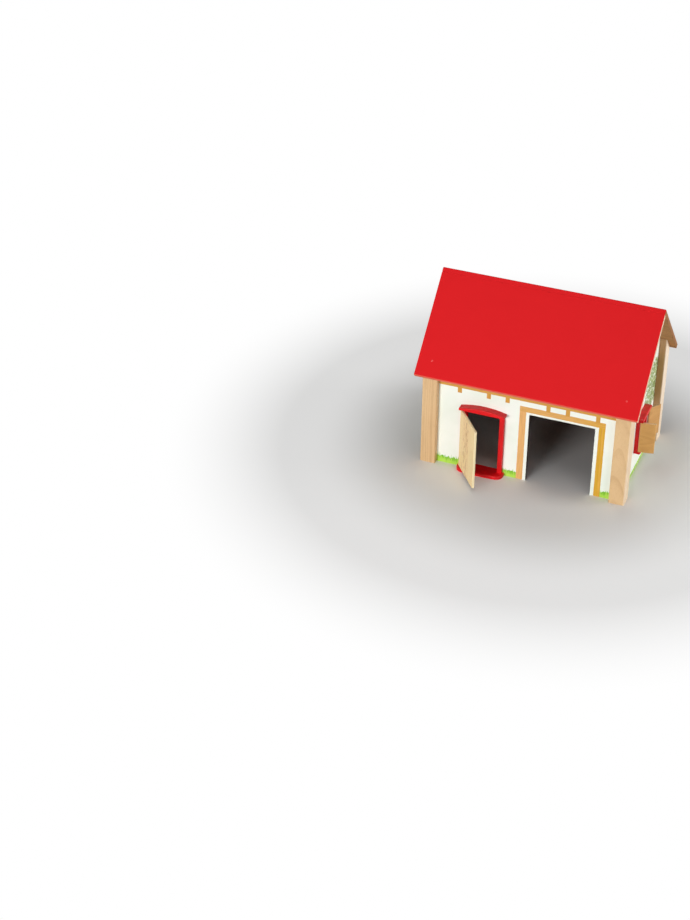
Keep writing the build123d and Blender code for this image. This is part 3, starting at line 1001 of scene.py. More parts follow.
def red_moulding():
    """Glossy red moulding with a faint flow, fine ripples and a few dull spots, made once."""
    name = "red moulding"
    moulding = settings().moulding

    def build(g, shader):
        here = g.millimetres()
        drawn_out = g.vector("MULTIPLY", here, (0.09, 0.09, 0.05))
        flow = g.noise(drawn_out, detail=3.0, distortion=1.5)[0]
        marks = g.group(speckle_group(), {"Position": here})
        base = g.mix(g.ease(flow, 0.35, 0.7), moulding.paint, shaded(moulding.paint, 0.86))
        surface = {
            "Base Color": g.mix(g.mul(marks["Speck"], 0.08), base, MOULDING_SPECK),
            "Roughness": g.span(marks["Smudge"], 0.0, 1.0, moulding.gloss, moulding.gloss + 0.12),
            "Specular IOR Level": 0.2,
            "Coat Weight": 0.06,
            "Coat Roughness": 0.2,
        }
        height = g.add(g.mul(g.mottle(here, 0.5), 0.8), g.mul(marks["Fine"], 0.2))
        finish_surface(g, shader, height, 0.025, surface)

    return bpy.data.materials.get(name) or new_material(name, build)


def leaf_ply(name, axes, colours, upright, shift):
    """Plywood leaf with flat-sawn grain on its faces, upright or level, and layered edges."""
    thick = settings().leaves.thickness / MM
    hinge, along, across = axes
    light, dark, edge_light = colours
    figure_middle = 18.0

    def build(g, shader):
        here = g.millimetres()
        from_hinge = g.vector("SUBTRACT", here, hinge)
        out = g.dot(from_hinge, along)
        depth = g.dot(from_hinge, across)
        height = g.split(here)["Z"]
        length_way, width_way = (height, out) if upright else (out, height)
        tilt = g.mul(g.sub(length_way, shift[2]), 0.11)
        log = g.join(g.sub(width_way, shift[0]), g.add(g.add(depth, tilt), shift[1]), length_way)
        inputs = {
            "Position": log,
            "Light": light,
            "Dark": dark,
            "Spacing": 2.2,
            "Warp": 3.5,
            "Rings": 0.16 if upright else 0.24,
            "Streaks": 0.22,
            "Flecks": 0.5 if upright else 0.2,
        }
        face = g.group(wood_group(), inputs)
        dashes = g.ease(g.mottle(log, (1.0, 0.4, 0.13)), 0.52, 0.6)
        figured = g.ease(g.mottle(log, (0.13, 0.1, 0.02), 1.0), 0.34, 0.5)
        middle = g.ease(g.math("ABSOLUTE", g.sub(out, figure_middle)), 12.0, 4.0)
        dashes = g.mul(g.mul(dashes, g.mul(figured, middle)), 0.72 if upright else 0.1)
        figure = g.mix(dashes, face["Color"], LEAF_FIGURE)
        inputs = {
            "Position": here,
            "Depth": g.add(depth, thick / 2),
            "Thickness": thick,
            "Layers": 3.0,
            "Light": edge_light,
            "Dark": shaded(edge_light, 0.66),
        }
        edge = g.group(ply_group(), inputs)
        normal = g.node("ShaderNodeTexCoord").outputs["Normal"]
        on_face = g.ease(g.math("ABSOLUTE", g.dot(normal, across)), 0.55, 0.8)
        marks = g.group(speckle_group(), {"Position": here})
        wood = g.mix(on_face, edge["Color"], figure)
        surface = {
            "Base Color": g.mix(g.mul(marks["Smudge"], 0.06), wood, SOILING),
            "Roughness": g.span(face["Tone"], 0.0, 1.0, 0.45, 0.6),
            "Specular IOR Level": 0.35,
        }
        finish_surface(g, shader, g.over(edge["Height"], face["Height"], on_face), 0.04, surface)

    return new_material(name, build)


def painted_steel(name, paint):
    """Nail or pin head under a coat of paint, with a few rubbed spots."""

    def build(g, shader):
        rub = g.mottle(g.millimetres(), 1.1, 3.0)
        surface = {
            "Base Color": g.mix(g.mul(g.ease(rub, 0.45, 0.65), 0.6), paint, RUBBED_HEAD),
            "Roughness": g.span(rub, 0.3, 0.7, 0.3, 0.45),
        }
        finish_surface(g, shader, rub, 0.03, surface)

    return new_material(name, build)


# --- Mesh building -------------------------------------------------------------------------


def dress(node, material):
    """Give a packed node, which keeps its shape, one material in every slot."""
    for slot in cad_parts[node].material_slots:
        slot.material = material


def linked(name, data):
    """A new object of the open scene."""
    made = bpy.data.objects.new(name, data)
    bpy.context.scene.collection.objects.link(made)
    return made


def plain_mesh(mesh, name):
    """Mesh data from a bmesh, which is then freed."""
    data = bpy.data.meshes.new(name)
    mesh.to_mesh(data)
    mesh.free()
    return data


def block(outline, rise):
    """A closed prism: a flat outline of points and the vector that it is pushed along."""
    mesh = bmesh.new()
    low = [mesh.verts.new(point) for point in outline]
    high = [mesh.verts.new(point + rise) for point in outline]
    count = len(outline)
    mesh.faces.new(list(reversed(low)))
    mesh.faces.new(high)
    for i in range(count):
        j = (i + 1) % count
        mesh.faces.new((low[i], low[j], high[j], high[i]))
    bmesh.ops.recalc_face_normals(mesh, faces=mesh.faces)
    return mesh


def upright_block(plan, foot, top):
    """A prism on a plan of points along and out of the wall, between two heights."""
    return block([Vector((x, foot, z)) for x, z in plan], Vector((0, top - foot, 0)))


def facing_block(view, back, front):
    """A prism on a front view of points along and up the wall, between two depths."""
    return block([Vector((x, y, back)) for x, y in view], Vector((0, 0, front - back)))


def soften(mesh, chosen, width, steps=4):
    """Round the edges that a test picks by their two ends."""
    edges = [edge for edge in mesh.edges if chosen(edge.verts[0].co, edge.verts[1].co)]
    bmesh.ops.bevel(
        mesh,
        geom=edges,
        offset=width,
        offset_type="OFFSET",
        segments=steps,
        profile=0.5,
        affect="EDGES",
        clamp_overlap=True,
    )


def temporary(mesh, matrix=Matrix.Identity(4)):
    """An object from a bmesh given in millimetres, put in its place in metres."""
    bmesh.ops.transform(mesh, matrix=Matrix.Scale(MM, 4) @ matrix, verts=mesh.verts)
    bmesh.ops.recalc_face_normals(mesh, faces=mesh.faces)
    return linked("piece", plain_mesh(mesh, "piece"))


def baked(source, name):
    """A plain mesh object from an object with modifiers, which is then removed."""
    graph = bpy.context.evaluated_depsgraph_get()
    graph.update()
    data = bpy.data.meshes.new_from_object(source.evaluated_get(graph), depsgraph=graph)
    data.name = name
    bpy.data.objects.remove(source)
    return linked(name, data)


def smooth(piece, name, corner=35.0):
    """Smooth shading that keeps flat faces flat and corners over an angle sharp."""
    for face in piece.data.polygons:
        face.use_smooth = True
    piece.data.set_sharp_from_angle(angle=radians(corner))
    weighted = piece.modifiers.new("weighted", "WEIGHTED_NORMAL")
    weighted.keep_sharp = True
    return baked(piece, name)


def merged(base, others, name, cut=()):
    """One closed solid: a base with other solids added and some taken away."""
    for tool, operation in [(t, "UNION") for t in others] + [(t, "DIFFERENCE") for t in cut]:
        step = base.modifiers.new("step", "BOOLEAN")
        step.operation = operation
        step.solver = "EXACT"
        step.object = tool
    whole = baked(base, name)
    for tool in (*others, *cut):
        bpy.data.objects.remove(tool)
    return whole


def finish_piece(piece, material, body, nodes):
    """Give a made piece its one material and its body, and hide the packed nodes that it stands
    for.
    """
    piece.data.materials.clear()
    piece.data.materials.append(material)
    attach(piece, body)
    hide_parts(*nodes)


# --- Roof ----------------------------------------------------------------------------------


def roof_board(way, name):
    """A roof board with rounded arrises. The rear one runs up to the ridge."""
    roof = settings().roof
    down, out = slope_axes(way)
    thick = roof.thickness / MM
    start = 0.0 if way > 0 else roof.lap / MM
    end = start + roof.board_width / MM
    lean = -thick / tan(2 * roof.pitch)
    side = Vector((-roof.board_length / MM / 2, 0, 0))
    corners = ((start, 0.0), (end, 0.0), (end, thick), (start + lean, thick))
    outline = [ridge_point() + side + down * run - out * depth for run, depth in corners]
    mesh = block(outline, -2 * side)
    joint = outline[0] if way < 0 else outline[3]
    joint_room = 0.3

    def at_joint(a, b):
        return all((spot - joint).yz.length < joint_room for spot in (a, b))

    soften(mesh, lambda a, b: not at_joint(a, b), roof.arris / MM)
    soften(mesh, at_joint, roof.joint_arris / MM, 2)
    return smooth(temporary(mesh), name)


class LayRoofBoards(bpy.types.Operator):
    """Make the two painted roof boards"""

    bl_idname = "toy_barn.lay_roof_boards"
    bl_label = "Roof Boards"

    def execute(self, context):
        for way, name in ((-1, "roof_front"), (1, "roof_rear")):
            board = roof_board(way, f"{name}_painted_board")
            finish_piece(board, roof_finish(way), "barn", [f"{name}_board"])
        return {"FINISHED"}


# --- Moulded frames ------------------------------------------------------------------------


def turned(centre, first, last, steps):
    """Points from one end of an arc to the other about its centre."""
    sweep = last.angle_signed(first)
    return [
        tuple(centre + Matrix.Rotation(sweep * i / steps, 2) @ first) for i in range(steps + 1)
    ]


def arc(start, middle, end, steps):
    """Points of a circular arc through three flat points, the first one left out."""
    (ax, ay), (bx, by), (cx, cy) = start, middle, end
    d = 2 * (ax * (by - cy) + bx * (cy - ay) + cx * (ay - by))
    aa, bb, cc = ax * ax + ay * ay, bx * bx + by * by, cx * cx + cy * cy
    ox = (aa * (by - cy) + bb * (cy - ay) + cc * (ay - by)) / d
    oy = (aa * (cx - bx) + bb * (ax - cx) + cc * (bx - ax)) / d
    centre = Vector((ox, oy))
    return turned(centre, Vector(start) - centre, Vector(end) - centre, steps)[1:]


def rounded_corner(before, corner, after, radius, steps):
    """Points that round the corner between two straight runs."""
    corner = Vector(corner)
    a = (Vector(before) - corner).normalized()
    b = (Vector(after) - corner).normalized()
    half = a.angle(b) / 2
    reach = radius / tan(half)
    centre = corner + (a + b).normalized() * (radius / sin(half))
    return turned(centre, corner + a * reach - centre, corner + b * reach - centre, steps)


def sill_outline(size, arc_steps=28, corner_steps=10):
    """Plan of a sill: straight at the wall, rounded corners and a bowed front."""
    half = size.sill_width / MM / 2
    reach = size.sill_reach / MM
    side = reach - size.sill_crown / MM
    bow = arc((-half, side), (0, reach), (half, side), arc_steps)
    radius = size.sill_corner / MM
    left = rounded_corner((-half, 0), (-half, side), bow[0], radius, corner_steps)
    right = rounded_corner(bow[-2], (half, side), (half, 0), radius, corner_steps)
    front = [point for point in bow if abs(point[0]) < half - radius - 0.3]
    return [(-half, 0), *left, *front, *right, (half, 0)]


# Overlaps and room of a moulding in millimetres, and how finely its curves are cut.
BEDDING = 0.4
JAMB_LIFT = 0.3
JAMB_IN_LINTEL = 0.8
PIN_ROOM = 0.05
HEAD_ROOM = 0.3
CUT_ROOM = 2.0
PASSAGE_BACK = -9.0
PASSAGE_FRONT = 0.2
BORE_TOP = 9.0
EDGE_TOLERANCE = 0.02
CREST_STEPS = 40
HOLE_SIDES = 28


def rectangle(half, low, high):
    """Corners of a centred rectangle between two heights."""
    return ((-half, low), (half, low), (half, high), (-half, high))


def pin_holes(size, pin, stand, foot, side):
    """A pin's bore through a moulding, and the seats of its two heads."""
    nails = settings().nails
    bore = nails.radius / MM + PIN_ROOM
    seat = nails.head_radius / MM + HEAD_ROOM
    below = foot - CUT_ROOM
    crest = side + size.lintel_rise / MM + CUT_ROOM
    turns = [2 * pi * i / HOLE_SIDES for i in range(HOLE_SIDES)]
    for radius, low, high in (
        (bore, below, side + BORE_TOP),
        (seat, below, foot + size.pin_recess / MM),
        (seat, side, crest),
    ):
        ring = [(pin + radius * cos(turn), stand + radius * sin(turn)) for turn in turns]
        yield upright_block(ring, low, high)


def frame_solid(size, wall, pins, name):
    """The whole moulding: sill, jambs, arched lintel and collar, with its pin holes."""
    shared = settings().moulding
    head = size.head / MM
    foot = (size.sill_top - size.sill_height) / MM
    top = size.sill_top / MM
    clear = size.clear_width / MM / 2
    proud = size.jamb_proud / MM
    reach = size.lintel_reach / MM
    half = size.lintel_width / MM / 2
    side = head + size.lintel_end / MM
    collar = shared.collar / MM
    eps = EDGE_TOLERANCE

    sill = upright_block(sill_outline(size), foot, top)
    soften(
        sill,
        lambda a, b: min(a.y, b.y) > top - eps and max(a.z, b.z) > eps,
        shared.sill_round / MM,
    )
    parts = [sill]
    for way in (-1, 1):
        near, far = way * clear, way * (clear + size.jamb_width / MM)
        plan = [(near, -BEDDING), (far, -BEDDING), (far, proud), (near, proud)]
        jamb = upright_block(plan, foot + JAMB_LIFT, head + JAMB_IN_LINTEL)
        soften(
            jamb,
            lambda a, b: min(a.z, b.z) > proud - eps and abs(a.y - b.y) > 1,
            shared.jamb_round / MM,
        )
        parts.append(jamb)
    crest = arc((-half, side), (0, side + size.lintel_rise / MM), (half, side), CREST_STEPS)
    lintel = facing_block([(half, head), (-half, head), (-half, side), *crest], 0, reach)
    soften(lintel, lambda a, b: min(a.z, b.z) > reach - eps, shared.lintel_round / MM)
    lining = rectangle(clear + collar, size.collar_foot / MM, head + collar)
    parts += [lintel, facing_block(lining, -shared.wall / MM, 0)]
    holes = [facing_block(rectangle(clear, top, head), PASSAGE_BACK, PASSAGE_FRONT)]
    for pin, stand in pins:
        holes += pin_holes(size, pin, stand, foot, side)
    solids = [temporary(part, wall) for part in parts]
    tools = [temporary(part, wall) for part in holes]
    return smooth(merged(solids[0], solids[1:], name, tools), name)


def wall_matrix(origin, along):
    """Frame of a wall: X along it, Y up, Z out of it. In millimetres."""
    out = along.cross(UP)
    matrix = Matrix((along, UP, out)).transposed().to_4x4()
    matrix.translation = origin
    return matrix


def door_wall():
    """Frame of the doorway's middle on the front wall's face."""
    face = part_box("front_wall")[0][1]
    return wall_matrix(Vector((settings().door_frame.centre, face, 0)) / MM, Vector((1, 0, 0)))


def window_wall():
    """Frame of the window's middle on the right gable's face."""
    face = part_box("right_gable_wall")[1][0]
    return wall_matrix(Vector((face, settings().window_frame.centre, 0)) / MM, Vector((0, 1, 0)))


def pivot(size):
    """A leaf's pin: its distance from the opening's middle and from the wall's face."""
    leaves = settings().leaves
    half = leaves.thickness / MM / 2
    aside = size.clear_width / MM / 2 + size.jamb_width / MM - half
    stand = size.jamb_proud / MM + leaves.jamb_gap / MM + half
    return aside, stand


def mould_frame(size, wall, sides, node):
    """Make a moulded frame, bored for pins on the given sides, and hand it over."""
    aside, stand = pivot(size)
    pins = [(side * aside, stand) for side in sides]
    piece = frame_solid(size, wall, pins, f"{node}_moulding")
    finish_piece(piece, red_moulding(), "barn", [node])


class MouldDoorFrame(bpy.types.Operator):
    """Make the moulded door frame with its step and canopy"""

    bl_idname = "toy_barn.mould_door_frame"
    bl_label = "Door Frame"

    def execute(self, context):
        mould_frame(settings().door_frame, door_wall(), (-1,), "door_frame")
        return {"FINISHED"}


class MouldWindowFrame(bpy.types.Operator):
    """Make the moulded window frame with its sill and canopy"""

    bl_idname = "toy_barn.mould_window_frame"
    bl_label = "Window Frame"

    def execute(self, context):
        mould_frame(settings().window_frame, window_wall(), (-1, 1), "window_frame")
        return {"FINISHED"}


# --- Leaves --------------------------------------------------------------------------------


def leaf_axes(wall, size, way, angle):
    """Hinge point at the ground, direction to the free edge and direction across the leaf."""
    aside, stand = pivot(size)
    hinge = wall @ Vector((-way * aside, 0, stand))
    along = wall.to_3x3() @ Vector((way * cos(angle), 0, sin(angle)))
    return hinge, along, along.cross(UP)


def leaf_piece(axes, reach, foot, top, name):
    """A plywood leaf, round about its pins at the hinge edge and softened elsewhere."""
    leaves = settings().leaves
    half = leaves.thickness / MM / 2
    hinge, along, across = axes
    steps = 20
    turns = [pi / 2 + pi * i / steps for i in range(steps + 1)]
    plan = [(reach, -half), (reach, half)]
    plan += [(half * cos(turn), half * sin(turn)) for turn in turns]
    base = hinge + UP * foot
    mesh = block([base + along * x + across * y for x, y in plan], UP * (top - foot))
    edge_room = 0.05

    def sharp(a, b):
        level = abs(a.z - b.z) < 0.01
        return level or all((spot - hinge).dot(along) > reach - edge_room for spot in (a, b))

    soften(mesh, sharp, leaves.arris / MM, 3)
    return smooth(temporary(mesh), name)


def hang(size, wall, way, angle, reach, foot, names, wood):
    """Make a leaf and hand it over. Names are those of its piece, material, body and node."""
    piece_name, title, body, node = names
    axes = leaf_axes(wall, size, way, angle)
    top = (size.head - settings().leaves.end_gap) / MM
    piece = leaf_piece(axes, reach, foot, top, piece_name)
    finish_piece(piece, leaf_ply(title, axes, *wood), body, [node])


class HangDoor(bpy.types.Operator):
    """Make the plywood door leaf, standing open"""

    bl_idname = "toy_barn.hang_door"
    bl_label = "Door"

    def execute(self, context):
        size, leaves = settings().door_frame, settings().leaves
        aside, _ = pivot(size)
        reach = 2 * aside + (leaves.thickness / 2 - leaves.end_gap) / MM
        foot = (size.sill_top + 2 * leaves.jamb_gap) / MM
        names = ("door_leaf_plywood", "door plywood", "door", "door_leaf")
        wood = ((leaves.light, leaves.dark, leaves.edge), True, (17.0, 7.0, 30.0))
        hang(size, door_wall(), 1, leaves.door_angle, reach, foot, names, wood)
        return {"FINISHED"}


class HangShutters(bpy.types.Operator):
    """Make the two plywood shutters, standing open"""

    bl_idname = "toy_barn.hang_shutters"
    bl_label = "Shutters"

    def execute(self, context):
        size, leaves = settings().window_frame, settings().leaves
        aside, _ = pivot(size)
        reach = aside - leaves.end_gap / MM
        foot = (size.sill_top + leaves.end_gap) / MM
        colours = (leaves.shutter_light, leaves.shutter_dark, leaves.shutter_edge)
        # Painted shade: the rear shutter gets darker copies of the shutter colours.
        rear_shaded_colours = [shaded(each, leaves.rear_shade) for each in colours]
        for side, way, angle, shades, shift in (
            ("front", 1, leaves.front_angle, colours, (44.0, 6.0, 5.0)),
            ("rear", -1, leaves.rear_angle, rear_shaded_colours, (57.0, 8.0, 9.0)),
        ):
            node = f"shutter_{side}"
            names = (f"{node}_plywood", f"shutter plywood {side}", f"{side}_shutter", node)
            hang(size, window_wall(), way, angle, reach, foot, names, (shades, False, shift))
        return {"FINISHED"}


# --- Nails ---------------------------------------------------------------------------------


def nail_tree():
    """Geometry Nodes: a nail on every point, turned along the point's direction."""
    thin = 0.00002

    def build(g, given, wanted):
        head, shank, crown = given["Head Radius"], given["Shank Radius"], given["Crown Radius"]
        tall, long, taper = given["Head Height"], given["Shank Length"], given["Point Length"]
        pointed = g.math("GREATER_THAN", taper, 0.0)
        tip = g.sub(shank, g.mul(g.mul(shank, 0.9), pointed))
        # Places along the nail from the crown to the tip, each with the radius there.
        stations = (
            (g.mul(tall, -1.0), crown),
            (g.mul(tall, -0.8), g.add(g.mul(head, 0.55), g.mul(crown, 0.45))),
            (g.mul(tall, -0.45), head),
            (-thin, head),
            (0.0, g.mul(shank, 1.15)),
            (thin * 12, shank),
            (g.sub(long, g.math("MAXIMUM", taper, thin * 4)), shank),
            (long, tip),
        )
        index = g.node("GeometryNodeInputIndex").outputs[0]
        chosen = []
        for values in zip(*stations):
            switch = g.node("GeometryNodeIndexSwitch", data_type="FLOAT")
            while len(switch.index_switch_items) < len(values):
                switch.index_switch_items.new()
            g.fill(switch.inputs, {"Index": index, **dict(enumerate(values, 1))})
            chosen.append(switch.outputs[0])
        reach, width = chosen
        line = g.node("GeometryNodeMeshLine", {"Count": len(stations)}).outputs[0]
        curve = g.node("GeometryNodeMeshToCurve", {"Mesh": line}).outputs[0]
        inputs = {"Geometry": curve, "Position": g.join(0.0, 0.0, reach)}
        curve = g.node("GeometryNodeSetPosition", inputs).outputs[0]
        inputs = {"Resolution": given["Sides"], "Radius": 1.0}
        ring = g.node("GeometryNodeCurvePrimitiveCircle", inputs).outputs[0]
        inputs = {"Curve": curve, "Profile Curve": ring, "Scale": width, "Fill Caps": True}
        nail = g.node("GeometryNodeCurveToMesh", inputs).outputs[0]
        inputs = {"Name": "way"}
        way = g.node("GeometryNodeInputNamedAttribute", inputs, data_type="FLOAT_VECTOR")
        inputs = {"Vector": way.outputs[0]}
        turned_to = g.node("FunctionNodeAlignRotationToVector", inputs, axis="Z").outputs[0]
        inputs = {"Points": given["Points"], "Instance": nail, "Rotation": turned_to}
        placed = g.node("GeometryNodeInstanceOnPoints", inputs).outputs[0]
        whole = g.node("GeometryNodeRealizeInstances", {"Geometry": placed}).outputs[0]
        inputs = {"Geometry": whole, "Material": given["Material"]}
        g.put(wanted["Nails"], g.node("GeometryNodeSetMaterial", inputs).outputs[0])

    inputs = {
        "Points": "NodeSocketGeometry",
        "Shank Radius": 0.0006,
        "Shank Length": 0.011,
        "Point Length": 0.0,
        "Head Radius": 0.0012,
        "Head Height": 0.00045,
        "Crown Radius": 0.0007,
        "Sides": 32,
        "Material": "NodeSocketMaterial",
    }
    outputs = {"Nails": "NodeSocketGeometry"}
    return shared_group("nails on points", inputs, outputs, build, "GeometryNodeTree")


def drive(seats, shank, point, material, name):
    """Nails at the given seats. A seat is the point under a head and the shank's direction."""
    nails = settings().nails
    data = bpy.data.meshes.new("seats")
    data.from_pydata([seat * MM for seat, _ in seats], [], [])
    way = data.attributes.new("way", "FLOAT_VECTOR", "POINT")
    for number, (_, direction) in enumerate(seats):
        way.data[number].vector = direction
    source = linked("seats", data)
    tree = nail_tree()
    modifier = source.modifiers.new("nails", "NODES")
    modifier.node_group = tree
    values = {
        "Shank Radius": nails.radius,
        "Shank Length": shank,
        "Point Length": point,
        "Head Radius": nails.head_radius,
        "Head Height": nails.head_height,
        "Crown Radius": nails.crown,
        "Material": material,
    }
    for item in tree.interface.items_tree:
        if item.in_out == "INPUT" and item.name in values:
            modifier[item.identifier] = values[item.name]
    return smooth(baked(source, name), name, 40.0)


def roof_seats(way):
    """Seats of the two nails of a roof board."""
    roof, nails = settings().roof, settings().nails
    _, out = slope_axes(way)
    aside = way * (nails.post_y + nails.roof_inset) / MM
    head = ridge_point() + Vector((0, aside, -abs(aside) * tan(roof.pitch)))
    under_head = out * ((nails.head_height - nails.sink) / MM)
    post = Vector((nails.post_x / MM, 0, 0))
    return [(head + side * post - under_head, -out) for side in (-1, 1)]


def pin_seats(size, wall, way):
    """Seats of a leaf's two pins: one points up through the sill, one down."""
    nails = settings().nails
    aside, stand = pivot(size)
    gap = nails.head_gap / MM
    low = (size.sill_top - size.sill_height + size.pin_recess) / MM - gap
    high = (size.head + size.lintel_end) / MM + gap
    ends = ((low, UP), (high, -UP))
    return [(wall @ Vector((-way * aside, height, stand)), point) for height, point in ends]


class DriveNails(bpy.types.Operator):
    """Make the roof nails and the hinge pins"""

    bl_idname = "toy_barn.drive_nails"
    bl_label = "Nails"

    def execute(self, context):
        barn = settings()
        nails = barn.nails
        red = painted_steel("painted nail", barn.roof.paint)
        pin = painted_steel("painted pin", barn.moulding.paint)
        for way, name in ((-1, "roof_nails_front"), (1, "roof_nails_rear")):
            seats = roof_seats(way)
            piece = drive(seats, nails.roof_length, nails.roof_point, red, f"{name}_driven")
            finish_piece(piece, red, "barn", [name])
        for name, body, size, wall, way in (
            ("door_pins", "door", barn.door_frame, door_wall(), 1),
            ("shutter_front_pins", "front_shutter", barn.window_frame, window_wall(), 1),
            ("shutter_rear_pins", "rear_shutter", barn.window_frame, window_wall(), -1),
        ):
            seats = pin_seats(size, wall, way)
            piece = drive(seats, nails.pin_length, 0.0, pin, f"{name}_driven")
            finish_piece(piece, pin, body, [name])
        return {"FINISHED"}


# --- Posts and walls -----------------------------------------------------------------------


class FinishPosts(bpy.types.Operator):
    """Give the four corner posts their sealed wood"""

    bl_idname = "toy_barn.finish_posts"
    bl_label = "Posts"

    def execute(self, context):
        for number, node in enumerate(POSTS):
            dress(node, post_wood(number, node))
        return {"FINISHED"}


class PrintWalls(bpy.types.Operator):
    """Give the four walls their print, cut edges and inner stain"""

    bl_idname = "toy_barn.print_walls"
    bl_label = "Walls"

    def execute(self, context):
        for node, title, axis, way, design in (
            ("front_wall", "front wall print", "Y", -1.0, front_wall_design),
            ("right_gable_wall", "window gable print", "X", 1.0, window_gable_design),
            ("left_gable_wall", "left gable print", "X", -1.0, low_grass),
            ("rear_wall", "rear wall print", "Y", 1.0, rear_wall_design),
        ):
            dress(node, printed_wall(title, node, axis, way, design))
        return {"FINISHED"}


# --- Stage ---------------------------------------------------------------------------------


# The stage, in metres: the barn's middle on the floor, the point that the lamps are aimed at,
# and each lamp's place, width and height, under the name that its power has in the settings.
BARN_MIDDLE = (0.0, 0.064, 0.0)
LAMP_TARGET = (0.0, 0.06, 0.08)
LAMPS = {
    "key": ((-0.52, -1.92, 0.29), (0.8, 0.36)),
    "top": ((-0.1, -0.3, 2.0), (1.4, 1.4)),
    "fill": ((1.55, -1.2, 0.26), (0.7, 0.34)),
    "side": ((1.95, 0.52, 0.27), (0.8, 0.34)),
}
CAMERA_PLACE = (0.4498, -1.5956, 1.1071)
CAMERA_YAW, CAMERA_PITCH, CAMERA_ROLL = radians(-21.99), radians(33.385), radians(0.368)
WHITE = (1.0, 1.0, 1.0)


def ray_mask(g, *kinds):
    """One for rays of the given kinds and zero for others."""
    rays = g.node("ShaderNodeLightPath").outputs
    mask = None
    for kind in kinds:
        mask = g.highest(mask, rays[f"Is {kind} Ray"])
    return mask


def floor_material():
    """Plain pale floor that keeps the shadow and fades to white far off."""
    stage = settings().stage
    material = bpy.data.materials.new("pale floor")
    material.use_nodes = True
    g = Graph(material.node_tree)
    here = g.node("ShaderNodeTexCoord").outputs["Object"]
    grain = g.noise(here, scale=9.0, detail=3.0)[0]
    pale = g.mix(g.span(grain, 0.3, 0.7), stage.floor, shaded(stage.floor, 0.985))
    seen = ray_mask(g, "Camera", "Glossy")
    dull = g.mix(seen, shaded(stage.floor, 0.5), pale)
    shader = g.node("ShaderNodeBsdfDiffuse", {"Color": dull}).outputs[0]
    white = g.node("ShaderNodeEmission", {"Color": WHITE, "Strength": 1.0}).outputs[0]
    inputs = {0: here, 1: BARN_MIDDLE}
    distance = g.node("ShaderNodeVectorMath", inputs, operation="DISTANCE").outputs["Value"]
    near = g.mul(g.ease(distance, 0.125, 0.24), stage.floor_glow)
    glow = g.mul(g.highest(near, g.ease(distance, 0.14, 0.4)), seen)
    both = g.node("ShaderNodeMixShader", {0: glow, 1: shader, 2: white}).outputs[0]
    g.node("ShaderNodeOutputMaterial", {"Surface": both})
    return material


def floor_piece():
    """A floor under the barn."""
    mesh = bmesh.new()
    half = settings().stage.floor_size / 2
    bmesh.ops.create_grid(mesh, x_segments=8, y_segments=8, size=half)
    floor = linked("floor", plain_mesh(mesh, "floor"))
    floor.data.materials.append(floor_material())


def lamp(name, location, size, watts):
    """A soft lamp of a width and a height, aimed at the barn."""
    data = bpy.data.lights.new(name, "AREA")
    data.shape = "RECTANGLE"
    data.size, data.size_y = size
    data.energy = watts
    made = linked(name, data)
    made.location = location
    made.rotation_mode = "QUATERNION"
    aim = Vector(LAMP_TARGET) - Vector(location)
    made.rotation_quaternion = aim.to_track_quat("-Z", "Y")


def surroundings():
    """Even light from all round, white to the camera and in reflections."""
    world = bpy.data.worlds.new("studio")
    world.use_nodes = True
    g = Graph(world.node_tree)
    seen = ray_mask(g, "Camera", "Glossy", "Transmission")
    strength = g.span(seen, 0.0, 1.0, settings().stage.sky, 1.0)
    sky = g.node("ShaderNodeBackground", {"Color": WHITE, "Strength": strength})
    g.node("ShaderNodeOutputWorld", {"Surface": sky.outputs[0]})
    bpy.context.scene.world = world


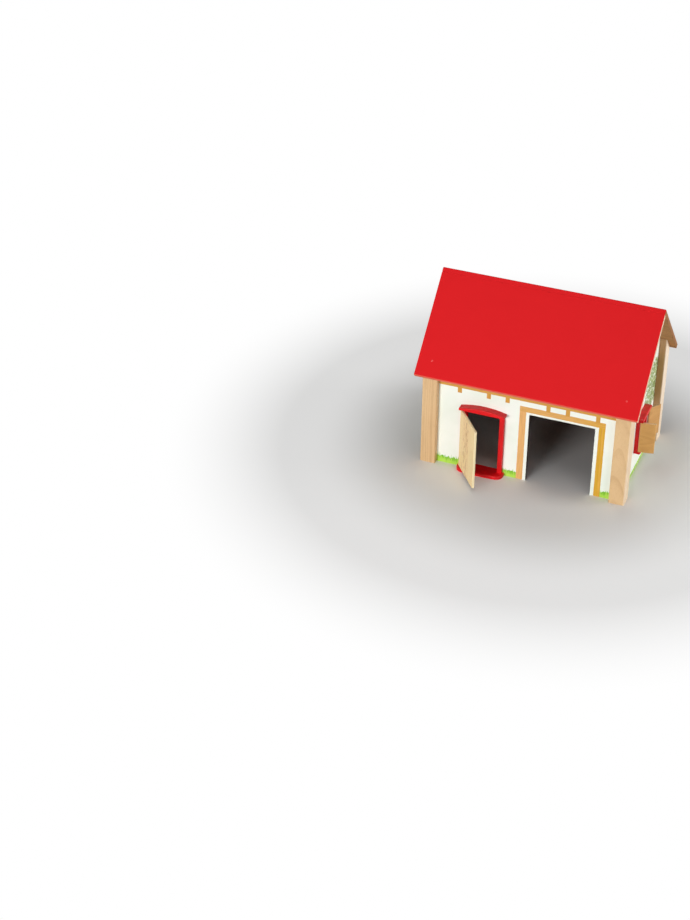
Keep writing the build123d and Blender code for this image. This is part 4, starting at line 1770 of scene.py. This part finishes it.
def camera():
    """The camera, looking down at the barn from its front right."""
    data = bpy.data.cameras.new("camera")
    data.lens = settings().stage.lens
    data.sensor_width = 36.0
    data.clip_start, data.clip_end = 0.05, 50.0
    yaw, pitch, roll = CAMERA_YAW, CAMERA_PITCH, CAMERA_ROLL
    ahead = Vector((sin(yaw) * cos(pitch), cos(yaw) * cos(pitch), -sin(pitch)))
    level = Vector((cos(yaw), -sin(yaw), 0))
    raised = level.cross(ahead)
    right = level * cos(roll) + raised * sin(roll)
    top = raised * cos(roll) - level * sin(roll)
    matrix = Matrix((right, top, -ahead)).transposed().to_4x4()
    matrix.translation = Vector(CAMERA_PLACE)
    made = linked("camera", data)
    made.matrix_world = matrix
    bpy.context.scene.camera = made


class BuildStage(bpy.types.Operator):
    """Make the floor, the lamps, the surroundings and the camera"""

    bl_idname = "toy_barn.build_stage"
    bl_label = "Stage"

    def execute(self, context):
        stage = settings().stage
        floor_piece()
        surroundings()
        for name, (location, size) in LAMPS.items():
            lamp(name, location, size, getattr(stage, name))
        camera()
        context.scene.view_settings.view_transform = "Standard"
        return {"FINISHED"}


# --- Panel and run -------------------------------------------------------------------------

OPERATORS = (
    FinishPosts,
    PrintWalls,
    LayRoofBoards,
    MouldDoorFrame,
    MouldWindowFrame,
    HangDoor,
    HangShutters,
    DriveNails,
    BuildStage,
)


class BarnPanel(bpy.types.Panel):
    """Lists the barn's pieces in the sidebar"""

    bl_idname = "VIEW3D_PT_toy_barn"
    bl_label = "Toy Barn"
    bl_space_type = "VIEW_3D"
    bl_region_type = "UI"
    bl_category = "Toy Barn"

    def draw(self, context):
        for operator in OPERATORS:
            self.layout.operator(operator.bl_idname)
        for name, group in GROUPS.items():
            box = self.layout.box()
            box.label(text=group.__doc__)
            values = getattr(context.scene.toy_barn, name)
            for key in group.__annotations__:
                box.prop(values, key)


CLASSES = (*GROUPS.values(), BarnSettings, *OPERATORS, BarnPanel)


def register():
    """Register every class and hang the settings on the scene."""
    for each in CLASSES:
        bpy.utils.register_class(each)
    bpy.types.Scene.toy_barn = bpy.props.PointerProperty(type=BarnSettings)


def unregister():
    """Take the settings and every class away again."""
    del bpy.types.Scene.toy_barn
    for each in reversed(CLASSES):
        bpy.utils.unregister_class(each)


def main():
    """Register the classes and make every piece in order."""
    register()
    for operator in OPERATORS:
        group, name = operator.bl_idname.split(".")
        getattr(getattr(bpy.ops, group), name)()


if __name__ == "__main__":
    main()
